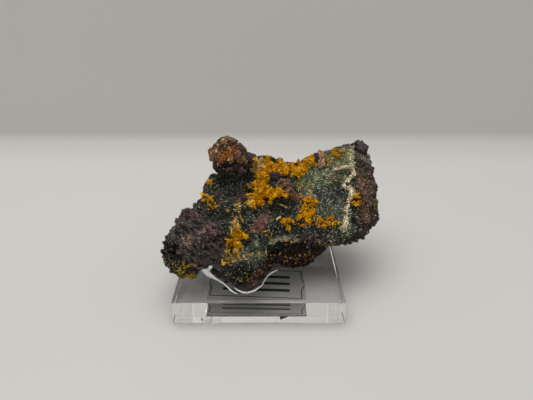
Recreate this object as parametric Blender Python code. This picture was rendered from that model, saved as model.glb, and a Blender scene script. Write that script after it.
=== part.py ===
"""A mimetite specimen: a dark lumpy stone with crusts of orange crystals, glued on a clear base.

+X is to the right, +Y to the back and +Z up. The origin is the centre of the base's underside.
The stone is modelled in millimetres as a union of angular chunks, which is softened and then
roughened. Each crust of crystals is a solid of its own, seated on the stone.
"""

import math
import random

import bmesh
import bpy
from mathutils import Matrix, Vector, noise
from mathutils.bvhtree import BVHTree

MM = 0.001

# Driving dimensions, in millimetres.
BASE_SIDE = 40.0
BASE_THICKNESS = 6.0
BASE_CHAMFER = 0.4
SEAT_GAP = 0.3
LABEL_WIDTH = 24.0
LABEL_DEPTH = 12.6
LABEL_THICKNESS = 0.25
LABEL_LIFT = 0.05
LABEL_CENTRE = (-0.6, -9.0)
STONE_LOWEST = BASE_THICKNESS + SEAT_GAP

# How fine the stone is, and the larger forms of it that its neighbours are cut by.
STONE_VOXEL = 0.7
STONE_TRIANGLES = 4550
CUTTER_TRIANGLES = 4200
CUTTER_MARGIN = 0.12
GLUE_CUTTER_TRIANGLES = 1600
GLUE_CUTTER_MARGIN = 0.4
FLAT_ANGLE = math.radians(2.0)
WELD_DISTANCE = 0.0005

# The weathered surface: size and height of each kind of unevenness, in millimetres.
SWELL_SIZE, SWELL_HEIGHT = 6.0, 0.8
BLOCK_SIZE, BLOCK_HEIGHT = 4.4, 1.1
WART_SIZE, WART_HEIGHT = 2.2, 1.2
GRIT_SIZE, GRIT_HEIGHT = 1.1, 0.5
ROUGHNESS_SINK = 0.68
CREVICE_SHARE = 0.3
SLAB_START = 10.5
SLAB_CALM = 0.6
SWELL_SHIFT = Vector((3.1, 7.7, 1.9))
BLOCK_SHIFT = Vector((4.4, 1.7, 6.2))
WART_SHIFT = Vector((9.4, 2.2, 5.3))
GRIT_SHIFT = Vector((1.2, 8.8, 4.4))

# The stone's chunks. Each is the convex hull of its corners, in millimetres right, back and up.
STONE_CHUNKS = {
    "right slab": [
        (15.5, 11.0, 31.0), (25.0, 14.0, 33.0), (24.5, 5.5, 27.8), (21.5, -4.2, 20.2),
        (21.0, -6.8, 17.5), (18.0, -9.8, 14.0), (10.5, -9.5, 15.5), (9.5, -1.0, 23.0),
        (10.5, 5.5, 27.5), (28.2, 16.5, 33.2), (30.2, 15.5, 30.5), (31.5, 9.5, 26.2),
        (32.1, 2.0, 19.5), (31.6, -0.9, 16.7), (27.2, -5.4, 14.1), (22.8, -7.9, 13.0),
        (27.0, 20.0, 24.0), (12.0, 19.0, 20.0), (28.0, 9.0, 12.0), (13.0, 8.0, 9.0),
    ],
    "middle": [
        (0.5, 5.0, 26.0), (10.0, 6.0, 27.0), (10.5, -10.0, 15.0), (1.5, -10.5, 15.0),
        (-2.0, -7.0, 18.0), (-5.5, -2.0, 21.5), (-3.5, 3.5, 25.5), (-7.0, 16.0, 23.0),
        (10.0, 18.0, 22.0), (12.0, 15.0, 9.0), (-7.0, 12.0, 9.0),
    ],
    "waist": [
        (-9.0, -5.5, 19.5), (-5.0, -4.5, 20.4), (-2.0, -7.0, 18.4), (-0.5, -11.5, 15.2),
        (-3.0, -13.8, 13.6), (-7.5, -14.0, 12.6), (-9.2, -11.5, 15.2), (-10.5, -14.0, 11.2),
        (-8.0, 2.0, 12.0), (-2.0, 2.0, 12.0),
    ],
    "saddle left": [
        (-2.0, 9.0, 29.3), (0.5, 11.0, 29.3), (6.5, 13.0, 28.3), (8.5, 12.0, 26.5),
        (10.0, 5.0, 26.0), (0.5, 3.5, 25.5), (-4.0, 15.0, 26.5), (8.0, 17.0, 24.5),
        (6.0, 18.0, 18.0),
    ],
    "saddle right": [
        (8.5, 12.0, 26.4), (11.0, 12.0, 27.3), (14.0, 12.5, 29.2), (16.0, 12.5, 31.0),
        (16.0, 7.0, 27.5), (10.0, 5.0, 26.0), (8.0, 17.0, 24.5), (15.0, 18.0, 26.5),
        (14.0, 18.0, 18.0),
    ],
    "knob": [
        (-13.5, 6.5, 33.0), (-13.0, 7.0, 35.2), (-11.2, 8.5, 36.3), (-9.0, 10.0, 36.5),
        (-6.3, 9.5, 36.3), (-4.0, 8.5, 33.4), (-1.0, 9.0, 31.0), (-2.5, 4.0, 28.0),
        (-6.5, 0.5, 28.8), (-11.0, 1.8, 29.5), (-13.2, 4.5, 31.5), (-10.0, 3.6, 34.9),
        (-6.5, 2.6, 34.9), (-7.0, 0.6, 31.5), (-4.0, 12.0, 31.0), (-11.0, 10.0, 30.0),
        (-6.0, 12.0, 24.0),
    ],
    "left shoulder": [
        (-12.0, 6.0, 27.5), (-14.3, 3.5, 25.0), (-15.4, 1.5, 24.0), (-15.4, 0.0, 22.5),
        (-14.5, -3.0, 21.0), (-10.0, -5.0, 21.0), (-4.5, -4.5, 20.5), (-3.0, 2.5, 26.0),
        (-13.0, 10.0, 24.0), (-15.0, 6.0, 19.0), (-8.0, 12.0, 20.0), (-5.0, 14.0, 26.0),
    ],
    "left lobe": [
        (-18.8, -5.2, 22.2), (-15.5, -4.3, 22.6), (-20.7, -8.2, 20.2), (-22.4, -10.8, 17.0),
        (-23.4, -12.0, 14.0), (-23.3, -13.2, 11.8), (-20.5, -15.8, 9.6), (-18.0, -16.2, 9.0),
        (-15.0, -16.0, 9.6), (-11.0, -13.8, 11.2), (-8.5, -12.2, 15.0), (-8.8, -8.0, 19.3),
        (-11.5, -5.0, 21.3), (-16.5, -14.8, 17.0), (-13.5, -13.8, 19.0), (-14.5, -11.0, 21.0),
        (-18.5, -12.8, 19.0), (-16.5, 2.5, 20.0), (-20.0, -1.5, 17.0), (-18.0, 0.5, 12.0),
        (-10.0, 3.0, 11.0), (-8.0, 6.0, 20.0),
    ],
    "foot": [
        (-8.6, -13.8, 9.6), (-6.4, -15.2, 7.2), (-5.0, -16.4, 5.8), (-2.2, -16.8, 5.6),
        (-0.8, -15.8, 6.4), (0.6, -14.6, 8.0), (2.0, -13.4, 9.4), (4.0, -12.0, 12.0),
        (2.0, -11.8, 15.4), (-6.5, -12.4, 15.0), (-9.0, -13.3, 12.5), (-3.0, -15.0, 13.3),
        (-7.0, -6.0, 6.0), (3.0, -5.0, 6.0), (-8.0, 2.0, 12.0), (4.0, 2.0, 12.0),
    ],
    "under block": [
        (2.5, -11.4, 9.6), (6.0, -10.8, 8.4), (9.5, -10.8, 8.0), (12.0, -9.8, 8.0),
        (13.6, -9.4, 9.2), (15.5, -8.4, 11.2), (18.0, -8.0, 12.5), (10.0, -10.4, 11.8),
        (3.4, -10.8, 11.8), (10.0, -8.2, 14.2), (2.5, -8.6, 14.2), (14.0, 4.0, 10.0),
        (4.0, 4.0, 8.0), (12.0, 2.0, 18.0), (2.0, 2.0, 18.0),
    ],
    "heel": [
        (-8.0, -1.0, 5.6), (9.0, -1.0, 5.6), (-8.0, 13.0, 5.6), (9.0, 13.0, 5.6),
        (-10.0, 4.0, 20.0), (11.0, 4.0, 20.0), (-6.0, 15.0, 17.0), (8.0, 16.0, 17.0),
    ],
    "hump": [
        (2.0, 1.0, 27.0), (3.6, 4.0, 28.2), (6.0, 3.0, 28.0), (8.4, 1.0, 27.2),
        (10.6, -0.8, 25.0), (9.8, -2.2, 23.6), (6.5, -2.8, 24.0), (2.6, -1.4, 25.0),
        (6.0, -2.0, 27.2), (7.8, -2.6, 26.0), (4.0, 6.0, 22.0),
    ],
}

# Forms that are pressed into the stone or raised from it: place, radius and height in millimetres.
STONE_FORMS = {
    "hollow under the knob": ((-7.4, 1.0, 27.0), 4.2, -2.0),
    "hollow's left end": ((-10.6, 2.6, 26.4), 3.0, -1.1),
    "column beside the hollow": ((-4.2, 1.4, 27.0), 3.0, 1.2),
    "pit beside the column": ((-1.6, 0.4, 24.2), 2.6, -0.9),
    "pit on the shoulder": ((-7.4, -0.6, 23.9), 2.4, -0.9),
    "shoulder swell": ((-11.2, -0.6, 23.6), 3.2, 0.7),
    "lobe crown": ((-16.6, -8.0, 22.0), 3.6, 0.7),
    "lobe cheek": ((-12.4, -11.2, 19.2), 3.2, 1.0),
    "lobe ledge": ((-15.8, -14.6, 17.0), 2.6, -1.1),
    "lobe ledge, left": ((-19.6, -13.2, 16.0), 2.4, -0.9),
    "valley, upper end": ((-8.2, -6.4, 18.8), 2.6, -0.9),
    "valley": ((-8.7, -10.4, 16.7), 2.8, -1.3),
    "valley, lower end": ((-9.0, -13.4, 13.4), 2.4, -0.7),
    "middle ridge": ((0.7, -6.7, 18.8), 3.2, 1.1),
    "middle ridge, lower end": ((-1.0, -9.4, 16.8), 2.6, 0.6),
    "dip under the hump": ((5.0, -4.0, 21.6), 3.0, -0.8),
    "lower shelf": ((6.0, -8.0, 17.0), 2.8, 0.7),
    "crack under the shelf, left": ((1.6, -10.0, 14.0), 2.2, -1.6),
    "crack under the shelf, middle": ((4.6, -9.8, 14.0), 2.4, -2.0),
    "crack under the shelf, right": ((7.8, -9.4, 14.0), 2.4, -1.8),
    "crack under the shelf, end": ((10.8, -9.4, 13.6), 2.0, -1.0),
    "slab boss": ((16.9, -0.2, 24.3), 3.6, 1.0),
    "slab trough": ((12.0, -2.4, 21.8), 2.8, -0.7),
    "slab trough, upper end": ((13.0, 5.0, 27.2), 3.0, -0.7),
    "slab lower swell": ((14.5, -6.6, 18.2), 3.2, 0.7),
    "slab dip": ((20.4, -4.6, 20.0), 2.8, -0.7),
    "lump at the slab's top": ((15.9, 9.0, 30.0), 1.8, 1.3),
    "broken face, upper step": ((27.6, 7.4, 27.0), 3.0, -1.1),
    "broken face, knuckle": ((28.6, 2.4, 22.8), 2.6, 0.9),
    "broken face, lower step": ((26.6, -1.6, 19.6), 2.8, -1.2),
    "foot swell": ((-3.0, -15.6, 10.6), 3.0, 0.6),
    "foot notch": ((0.6, -13.8, 11.4), 2.2, -0.9),
    "back hollow": ((2.0, 17.0, 16.0), 6.0, -2.0),
    "back ridge": ((-8.0, 13.0, 20.0), 4.5, 1.5),
    "back knuckle": ((16.0, 17.0, 20.0), 4.5, 1.6),
}

# The crusts of crystals. Each is a row of clumps on the stone: place, radius and how many crystals.
CRUSTS = {
    "mimetite_crest": [
        ((-0.8, 7.6, 28.6), 1.7, 2), ((1.8, 8.5, 28.2), 2.1, 4), ((4.4, 8.9, 28.0), 2.1, 4),
        ((7.0, 8.6, 27.4), 2.0, 3), ((9.2, 7.6, 26.8), 1.8, 2), ((11.2, 8.2, 27.4), 2.0, 3),
        ((13.3, 8.8, 28.9), 1.8, 3), ((0.4, 6.1, 27.0), 1.9, 2), ((3.2, 6.4, 26.9), 1.9, 3),
        ((6.0, 6.8, 26.8), 1.8, 2), ((10.2, 6.0, 26.9), 1.8, 2), ((0.9, 4.0, 26.0), 2.0, 3),
        ((0.4, 1.8, 24.6), 2.0, 3), ((-0.8, -0.4, 23.1), 1.9, 4), ((-2.0, -1.9, 22.0), 1.5, 1),
        ((2.0, 0.6, 24.6), 1.6, 1), ((3.2, -1.2, 24.8), 1.6, 3), ((4.9, -1.9, 25.2), 1.5, 2),
    ],
    "mimetite_right": [
        ((12.5, -2.0, 22.3), 1.7, 4), ((12.0, -3.8, 20.9), 1.7, 4), ((10.9, -5.2, 19.6), 1.6, 3),
    ],
    "mimetite_right_low": [((15.7, -6.0, 19.2), 1.3, 3), ((17.5, -5.7, 19.4), 1.3, 3)],
    "mimetite_centre": [((7.0, -5.4, 19.0), 1.3, 4)],
    "mimetite_left": [
        ((-5.7, -5.4, 20.2), 1.5, 3), ((-5.8, -7.2, 18.6), 1.4, 1), ((-5.1, -8.8, 17.5), 1.6, 4),
        ((-5.6, -10.3, 16.4), 1.5, 3), ((-6.0, -12.0, 15.4), 1.4, 1), ((-6.8, -13.4, 14.3), 1.5, 3),
    ],
    "mimetite_shoulder": [((-13.0, -1.0, 23.0), 1.7, 3), ((-11.5, -2.2, 22.6), 1.7, 3)],
    "mimetite_lobe": [((-17.6, -15.4, 13.0), 1.6, 3), ((-15.7, -16.0, 12.2), 1.6, 3)],
    "mimetite_edge": [((24.3, -0.9, 22.3), 1.4, 4)],
    "mimetite_top": [((20.4, 10.4, 31.3), 1.5, 4)],
}
CRYSTAL_SIDES = 6
CRYSTAL_RADIUS = (0.42, 0.62)
CRYSTAL_HEIGHT = (1.5, 2.3)
CRYSTAL_ROOT = 1.0
CRYSTAL_TAPER = 0.88
CRYSTAL_LEAN = 0.75
CRYSTAL_SPREAD = 0.45
STUB_HEIGHT = 1.0
STUB_TAPER = 0.78

# The glue's outline on the base, and each ring's height and how far it draws in to the centre.
GLUE_OUTLINE = [
    (-14.2, -8.2), (-12.2, -10.6), (-9.5, -13.0), (-6.6, -15.8), (-4.2, -17.3), (-1.6, -17.3),
    (0.9, -15.2), (2.4, -11.6), (4.4, -7.6), (8.5, -4.5), (11.0, 0.0), (11.0, 8.0),
    (7.0, 13.5), (-1.0, 15.0), (-8.0, 13.5), (-12.5, 6.0), (-14.0, -1.0),
]
GLUE_RINGS = [(0.0, 1.0), (1.2, 0.97), (2.4, 0.88), (3.4, 0.7), (4.0, 0.4)]
GLUE_CENTRE = (-1.0, -1.0)


def evaluated_mesh(thing):
    """A new mesh of the object as its modifiers leave it."""
    graph = bpy.context.evaluated_depsgraph_get()
    return bpy.data.meshes.new_from_object(thing.evaluated_get(graph))


def add_object(name, mesh):
    thing = bpy.data.objects.new(name, mesh)
    bpy.context.scene.collection.objects.link(thing)
    return thing


def apply_modifiers(thing):
    """Replace the object's mesh by its evaluated one and clear the modifiers."""
    mesh = evaluated_mesh(thing)
    thing.modifiers.clear()
    thing.data = mesh


def chunk_union_mesh():
    """All the stone's chunks in one mesh, each a closed hull that overlaps its neighbours."""
    shape = bmesh.new()
    for corners in STONE_CHUNKS.values():
        hull = bmesh.new()
        for corner in corners:
            hull.verts.new(corner)
        done = bmesh.ops.convex_hull(hull, input=hull.verts)
        inside = [item for item in done["geom_interior"] if isinstance(item, bmesh.types.BMVert)]
        bmesh.ops.delete(hull, geom=inside, context="VERTS")
        chunk = bpy.data.meshes.new("chunk")
        hull.to_mesh(chunk)
        hull.free()
        shape.from_mesh(chunk)
    mesh = bpy.data.meshes.new("chunks")
    shape.to_mesh(mesh)
    shape.free()
    return mesh


def voxel_remesh(thing, size):
    change = thing.modifiers.new("skin", "REMESH")
    change.mode = "VOXEL"
    change.voxel_size = size
    change.adaptivity = 0.0
    apply_modifiers(thing)


def soften(thing, rounds):
    shape = bmesh.new()
    shape.from_mesh(thing.data)
    for _ in range(rounds):
        bmesh.ops.smooth_vert(
            shape, verts=shape.verts, factor=0.5, use_axis_x=True, use_axis_y=True, use_axis_z=True
        )
    shape.to_mesh(thing.data)
    shape.free()


def decimate_to(thing, triangles):
    thing.data.calc_loop_triangles()
    change = thing.modifiers.new("fewer faces", "DECIMATE")
    change.ratio = triangles / len(thing.data.loop_triangles)
    change.use_collapse_triangulate = True
    apply_modifiers(thing)


def roughness_at(point):
    """How far the weathered surface stands out at a point, in millimetres."""
    swells = SWELL_HEIGHT * noise.noise(point / SWELL_SIZE + SWELL_SHIFT)
    nearest, second = noise.voronoi(point / BLOCK_SIZE + BLOCK_SHIFT)[0][:2]
    blocks = BLOCK_HEIGHT * min(second - nearest, CREVICE_SHARE) / CREVICE_SHARE
    warts = WART_HEIGHT * (0.5 - noise.voronoi(point / WART_SIZE + WART_SHIFT)[0][0])
    grit = GRIT_HEIGHT * noise.noise(point / GRIT_SIZE + GRIT_SHIFT)
    flatter = SLAB_CALM if point.x > SLAB_START else 1.0
    return swells + flatter * (blocks + warts + grit - ROUGHNESS_SINK)


def form_height_at(point):
    """The height of all the pressed and raised forms at a point."""
    height = 0.0
    for place, radius, rise in STONE_FORMS.values():
        near = (point - Vector(place)).length / radius
        if near < 1.0:
            height += rise * (1.0 - near * near) ** 2
    return height


def push_out(thing, height_at):
    """Move every vertex along its normal by height_at(place)."""
    mesh = thing.data
    moves = [v.normal * height_at(v.co) for v in mesh.vertices]
    for vertex, move in zip(mesh.vertices, moves):
        vertex.co = vertex.co + move


def cut_seat(thing, height):
    """Cut the mesh off flat at a height and close the cut."""
    shape = bmesh.new()
    shape.from_mesh(thing.data)
    everything = shape.verts[:] + shape.edges[:] + shape.faces[:]
    cut = bmesh.ops.bisect_plane(
        shape, geom=everything, plane_co=(0, 0, height), plane_no=(0, 0, 1), clear_inner=True
    )
    rim = [item for item in cut["geom_cut"] if isinstance(item, bmesh.types.BMEdge)]
    bmesh.ops.holes_fill(shape, edges=rim, sides=0)
    bmesh.ops.triangulate(shape, faces=shape.faces[:])
    bmesh.ops.recalc_face_normals(shape, faces=shape.faces[:])
    shape.to_mesh(thing.data)
    shape.free()


def make_stone(triangles, swell=0.0):
    """The stone, or with swell the larger form of it that its neighbours are cut by."""
    stone = add_object("matrix", chunk_union_mesh())
    voxel_remesh(stone, STONE_VOXEL)
    soften(stone, 2)
    push_out(stone, form_height_at)
    push_out(stone, roughness_at)
    voxel_remesh(stone, STONE_VOXEL)
    soften(stone, 1)
    if swell:
        push_out(stone, lambda place: swell)
        voxel_remesh(stone, STONE_VOXEL)
    else:
        cut_seat(stone, STONE_LOWEST)
    decimate_to(stone, triangles)
    return stone


def add_prism(shape, foot, direction, radius, length, taper, turn):
    """Add one six-sided crystal with flat faces to the mesh."""
    frame = direction.to_track_quat("Z", "Y").to_matrix()
    rings = []
    for along, width in ((0.0, radius), (length, radius * taper)):
        ring = []
        for corner in range(CRYSTAL_SIDES):
            angle = turn + math.tau * corner / CRYSTAL_SIDES
            across = Vector((width * math.cos(angle), width * math.sin(angle), along))
            ring.append(shape.verts.new(foot + frame @ across))
        rings.append(ring)
    bottom, top = rings
    for corner in range(CRYSTAL_SIDES):
        after = (corner + 1) % CRYSTAL_SIDES
        shape.faces.new((bottom[corner], bottom[after], top[after], top[corner]))
    shape.faces.new(top)
    shape.faces.new(bottom[::-1])


def crystal_mesh(clumps, surface, dice):
    """The crystals of one crust: in each clump a wide low one, and slender ones fanning out."""
    shape = bmesh.new()
    for place, radius, count in clumps:
        middle, outward, _, _ = surface.find_nearest(Vector(place))
        stub_foot = middle - outward * CRYSTAL_ROOT
        stub_length = CRYSTAL_ROOT + STUB_HEIGHT
        turn = dice.uniform(0, 1)
        add_prism(shape, stub_foot, outward, radius, stub_length, STUB_TAPER, turn)
        aside = outward.orthogonal().normalized()
        start = dice.uniform(0, math.tau)
        for number in range(count):
            angle = start + math.tau * (number + dice.uniform(-0.2, 0.2)) / count
            fan = Matrix.Rotation(angle, 3, outward) @ aside
            lean = CRYSTAL_LEAN * dice.uniform(0.5, 1.1)
            direction = (outward + fan * lean).normalized()
            foot = middle + fan * radius * CRYSTAL_SPREAD - direction * CRYSTAL_ROOT
            width = dice.uniform(*CRYSTAL_RADIUS)
            length = CRYSTAL_ROOT + dice.uniform(*CRYSTAL_HEIGHT)
            turn = dice.uniform(0, 1)
            add_prism(shape, foot, direction, width, length, CRYSTAL_TAPER, turn)
    mesh = bpy.data.meshes.new("crystals")
    shape.to_mesh(mesh)
    shape.free()
    return mesh


def keep_largest_body(thing):
    """Drop every loose bit but the one with the most corners, and leave only triangles."""
    shape = bmesh.new()
    shape.from_mesh(thing.data)
    seen = set()
    bodies = []
    for start in shape.verts:
        if start in seen:
            continue
        seen.add(start)
        body = [start]
        for reached in body:
            for edge in reached.link_edges:
                neighbour = edge.other_vert(reached)
                if neighbour not in seen:
                    seen.add(neighbour)
                    body.append(neighbour)
        bodies.append(body)
    largest = max(bodies, key=len)
    loose = [vertex for body in bodies if body is not largest for vertex in body]
    bmesh.ops.delete(shape, geom=loose, context="VERTS")
    bmesh.ops.remove_doubles(shape, verts=shape.verts, dist=WELD_DISTANCE)
    bmesh.ops.dissolve_limit(
        shape, angle_limit=FLAT_ANGLE, verts=shape.verts, edges=shape.edges, delimit=set()
    )
    bmesh.ops.triangulate(shape, faces=shape.faces[:])
    shape.to_mesh(thing.data)
    shape.free()


def cut_away(thing, cutter):
    change = thing.modifiers.new("fit", "BOOLEAN")
    change.operation = "DIFFERENCE"
    change.solver = "EXACT"
    change.use_self = True
    change.object = cutter
    apply_modifiers(thing)


def make_crust(name, clumps, surface, stone_form, seed):
    crust = add_object(name, crystal_mesh(clumps, surface, random.Random(seed)))
    cut_away(crust, stone_form)
    keep_largest_body(crust)
    return crust


def make_glue(stone_form):
    """A low clear dome round the stone's foot, a gap above the base."""
    centre = Vector(GLUE_CENTRE)
    shape = bmesh.new()
    rings = []
    for height, share in GLUE_RINGS:
        ring = []
        for corner in GLUE_OUTLINE:
            place = centre + (Vector(corner) - centre) * share
            ring.append(shape.verts.new((place.x, place.y, STONE_LOWEST + height)))
        rings.append(ring)
    for lower, upper in zip(rings, rings[1:]):
        for i in range(len(lower)):
            j = (i + 1) % len(lower)
            shape.faces.new((lower[i], lower[j], upper[j], upper[i]))
    shape.faces.new(rings[-1])
    shape.faces.new(rings[0][::-1])
    mesh = bpy.data.meshes.new("glue")
    shape.to_mesh(mesh)
    shape.free()
    glue = add_object("glue_dab", mesh)
    cut_away(glue, stone_form)
    keep_largest_body(glue)
    return glue


def box_mesh(width, depth, height, middle):
    shape = bmesh.new()
    bmesh.ops.create_cube(shape, size=1.0)
    bmesh.ops.scale(shape, vec=(width, depth, height), verts=shape.verts)
    bmesh.ops.translate(shape, vec=middle, verts=shape.verts)
    mesh = bpy.data.meshes.new("box")
    shape.to_mesh(mesh)
    shape.free()
    return mesh


def make_base():
    """The square clear block, with a shallow pocket for the label in its underside."""
    middle = (0, 0, BASE_THICKNESS / 2)
    base = add_object("acrylic_base", box_mesh(BASE_SIDE, BASE_SIDE, BASE_THICKNESS, middle))
    edges = base.modifiers.new("polished edges", "BEVEL")
    edges.width = BASE_CHAMFER
    edges.segments = 1
    apply_modifiers(base)
    x, y = LABEL_CENTRE
    depth = LABEL_LIFT + LABEL_THICKNESS + SEAT_GAP
    pocket_size = (LABEL_WIDTH + 2 * SEAT_GAP, LABEL_DEPTH + 2 * SEAT_GAP, 2 * depth)
    pocket = add_object("label_pocket", box_mesh(*pocket_size, (x, y, 0)))
    cut_away(base, pocket)
    bpy.data.objects.remove(pocket)
    return base


def make_label():
    x, y = LABEL_CENTRE
    z = LABEL_LIFT + LABEL_THICKNESS / 2
    return add_object("label", box_mesh(LABEL_WIDTH, LABEL_DEPTH, LABEL_THICKNESS, (x, y, z)))


def set_material(thing, name, colour, roughness, transmission=0.0, ior=1.5):
    material = bpy.data.materials.get(name) or bpy.data.materials.new(name)
    material.use_nodes = True
    shader = material.node_tree.nodes["Principled BSDF"]
    shader.inputs["Base Color"].default_value = (*colour, 1.0)
    shader.inputs["Roughness"].default_value = roughness
    shader.inputs["Metallic"].default_value = 0.0
    shader.inputs["Transmission Weight"].default_value = transmission
    shader.inputs["IOR"].default_value = ior
    thing.data.materials.clear()
    thing.data.materials.append(material)


def clear_scene():
    for thing in list(bpy.data.objects):
        bpy.data.objects.remove(thing, do_unlink=True)


def main():
    clear_scene()
    stone = make_stone(STONE_TRIANGLES)
    stone_form = make_stone(CUTTER_TRIANGLES, swell=SEAT_GAP + CUTTER_MARGIN)
    surface = BVHTree.FromPolygons(
        [v.co for v in stone.data.vertices], [p.vertices for p in stone.data.polygons]
    )
    set_material(stone, "dark stone", (0.06, 0.045, 0.045), 0.75)
    for seed, (name, clumps) in enumerate(CRUSTS.items()):
        crust = make_crust(name, clumps, surface, stone_form, seed)
        set_material(crust, "mimetite", (0.75, 0.33, 0.02), 0.4)
    foot_form = make_stone(GLUE_CUTTER_TRIANGLES, swell=SEAT_GAP + GLUE_CUTTER_MARGIN)
    glue = make_glue(foot_form)
    set_material(glue, "clear glue", (0.95, 0.95, 0.95), 0.08, transmission=1.0, ior=1.47)
    set_material(make_base(), "clear acrylic", (0.97, 0.98, 0.98), 0.02, transmission=1.0, ior=1.49)
    set_material(make_label(), "white card", (0.8, 0.8, 0.78), 0.6)
    bpy.data.objects.remove(stone_form)
    bpy.data.objects.remove(foot_form)
    for thing in bpy.context.scene.objects:
        thing.data.transform(Matrix.Scale(MM, 4))


main()
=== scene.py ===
# %% [markdown]
# # A mimetite specimen on its clear base
#
# The object is a lump of dark, weathered rock, about 55 mm long, with crusts of orange-yellow
# mimetite crystals. A dab of clear glue holds it to a square block of clear acrylic, and a small
# card lies under the block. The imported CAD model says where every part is. This script gives the
# parts their surfaces, and grows the thousands of small crystals that are too fine for CAD.
#
# Everything below is in millimetres until a mesh is made, and then one factor turns it to metres.

import math

import bmesh
import bpy
import numpy as np
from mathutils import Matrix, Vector, noise


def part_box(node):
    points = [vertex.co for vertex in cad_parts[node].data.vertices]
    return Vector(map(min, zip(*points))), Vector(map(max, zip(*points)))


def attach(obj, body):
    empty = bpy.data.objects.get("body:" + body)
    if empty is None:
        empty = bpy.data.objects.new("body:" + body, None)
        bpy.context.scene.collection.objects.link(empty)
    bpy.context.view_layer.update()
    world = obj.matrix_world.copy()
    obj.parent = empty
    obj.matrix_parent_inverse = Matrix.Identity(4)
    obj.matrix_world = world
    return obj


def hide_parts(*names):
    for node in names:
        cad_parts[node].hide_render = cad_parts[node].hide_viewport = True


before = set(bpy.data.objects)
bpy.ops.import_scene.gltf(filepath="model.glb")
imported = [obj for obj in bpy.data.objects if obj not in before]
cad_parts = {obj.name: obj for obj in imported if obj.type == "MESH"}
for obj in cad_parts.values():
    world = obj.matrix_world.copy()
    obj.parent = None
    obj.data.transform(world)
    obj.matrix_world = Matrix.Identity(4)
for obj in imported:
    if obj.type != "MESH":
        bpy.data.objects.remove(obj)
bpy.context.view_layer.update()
MM = 0.001
print("nodes:", sorted(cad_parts))

# %% [markdown]
# ## The camera
#
# The camera stands in front of the object, a hand's breadth above the table, and looks down at
# it. A camera could be aimed with a Track To constraint, but plain numbers are easier to read:
# one place, one pitch, and a lens worked out from the picture's width and its focal length in
# pixels.

# %% Camera
PICTURE_WIDTH = 533
FOCAL_PIXELS = 425
SENSOR = 36.0
CAMERA_PLACE = (1.8, -95.8, 70.4)
CAMERA_PITCH = 26.7
CLIP_START = 5.0

camera_data = bpy.data.cameras.new("camera")
camera_data.sensor_width = SENSOR
camera_data.lens = SENSOR * FOCAL_PIXELS / PICTURE_WIDTH
camera_data.clip_start = CLIP_START * MM
camera = bpy.data.objects.new("camera", camera_data)
camera.location = Vector(CAMERA_PLACE) * MM
camera.rotation_euler = (math.radians(90 - CAMERA_PITCH), 0, 0)
bpy.context.scene.collection.objects.link(camera)
bpy.context.scene.camera = camera
print("lens", round(camera_data.lens, 2), "mm")

# %% [markdown]
# ## Helpers for meshes
#
# Most pieces here are lists of points and faces worked out with numpy, which is quick even for a
# million of them. One helper turns such lists into an object, and hangs extra numbers on its
# corners, which the materials can read by name through an Attribute node.

# %% Mesh helpers
def srgb(red, green, blue):
    """The linear colour of three numbers from 0 to 255, as a picture editor shows them."""
    shares = np.array((red, green, blue)) / 255
    linear = np.where(shares <= 0.04045, shares / 12.92, ((shares + 0.055) / 1.055) ** 2.4)
    return (*linear.tolist(), 1.0)


def unit(rows):
    """Each row as a vector of length 1."""
    return rows / np.maximum(np.linalg.norm(rows, axis=1, keepdims=True), 1e-9)


def make_piece(name, points, faces, material=None, numbers=None, smooth=False):
    """An object from points in millimetres and faces, with named numbers on its corners."""
    mesh = bpy.data.meshes.new(name)
    mesh.from_pydata(np.asarray(points) * MM, [], faces)
    for label, values in (numbers or {}).items():
        kind = "FLOAT_VECTOR" if values.ndim == 2 else "FLOAT"
        layer = mesh.attributes.new(label, kind, "POINT")
        field = "vector" if values.ndim == 2 else "value"
        layer.data.foreach_set(field, values.astype(np.float32).ravel())
    mesh.polygons.foreach_set("use_smooth", [smooth] * len(mesh.polygons))
    if material:
        mesh.materials.append(material)
    piece = bpy.data.objects.new(name, mesh)
    bpy.context.scene.collection.objects.link(piece)
    return piece


def points_of(mesh):
    """The corners of a mesh as rows of millimetres."""
    flat = np.empty(len(mesh.vertices) * 3, np.float32)
    mesh.vertices.foreach_get("co", flat)
    return flat.reshape(-1, 3).astype(float) / MM


def normals_of(mesh):
    """The direction out of a mesh at each of its corners."""
    flat = np.empty(len(mesh.vertices) * 3, np.float32)
    mesh.vertices.foreach_get("normal", flat)
    return flat.reshape(-1, 3).astype(float)


def triangles_of(mesh):
    """The corner numbers of a mesh's triangles."""
    mesh.calc_loop_triangles()
    flat = np.empty(len(mesh.loop_triangles) * 3, np.int32)
    mesh.loop_triangles.foreach_get("vertices", flat)
    return flat.reshape(-1, 3)
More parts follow.
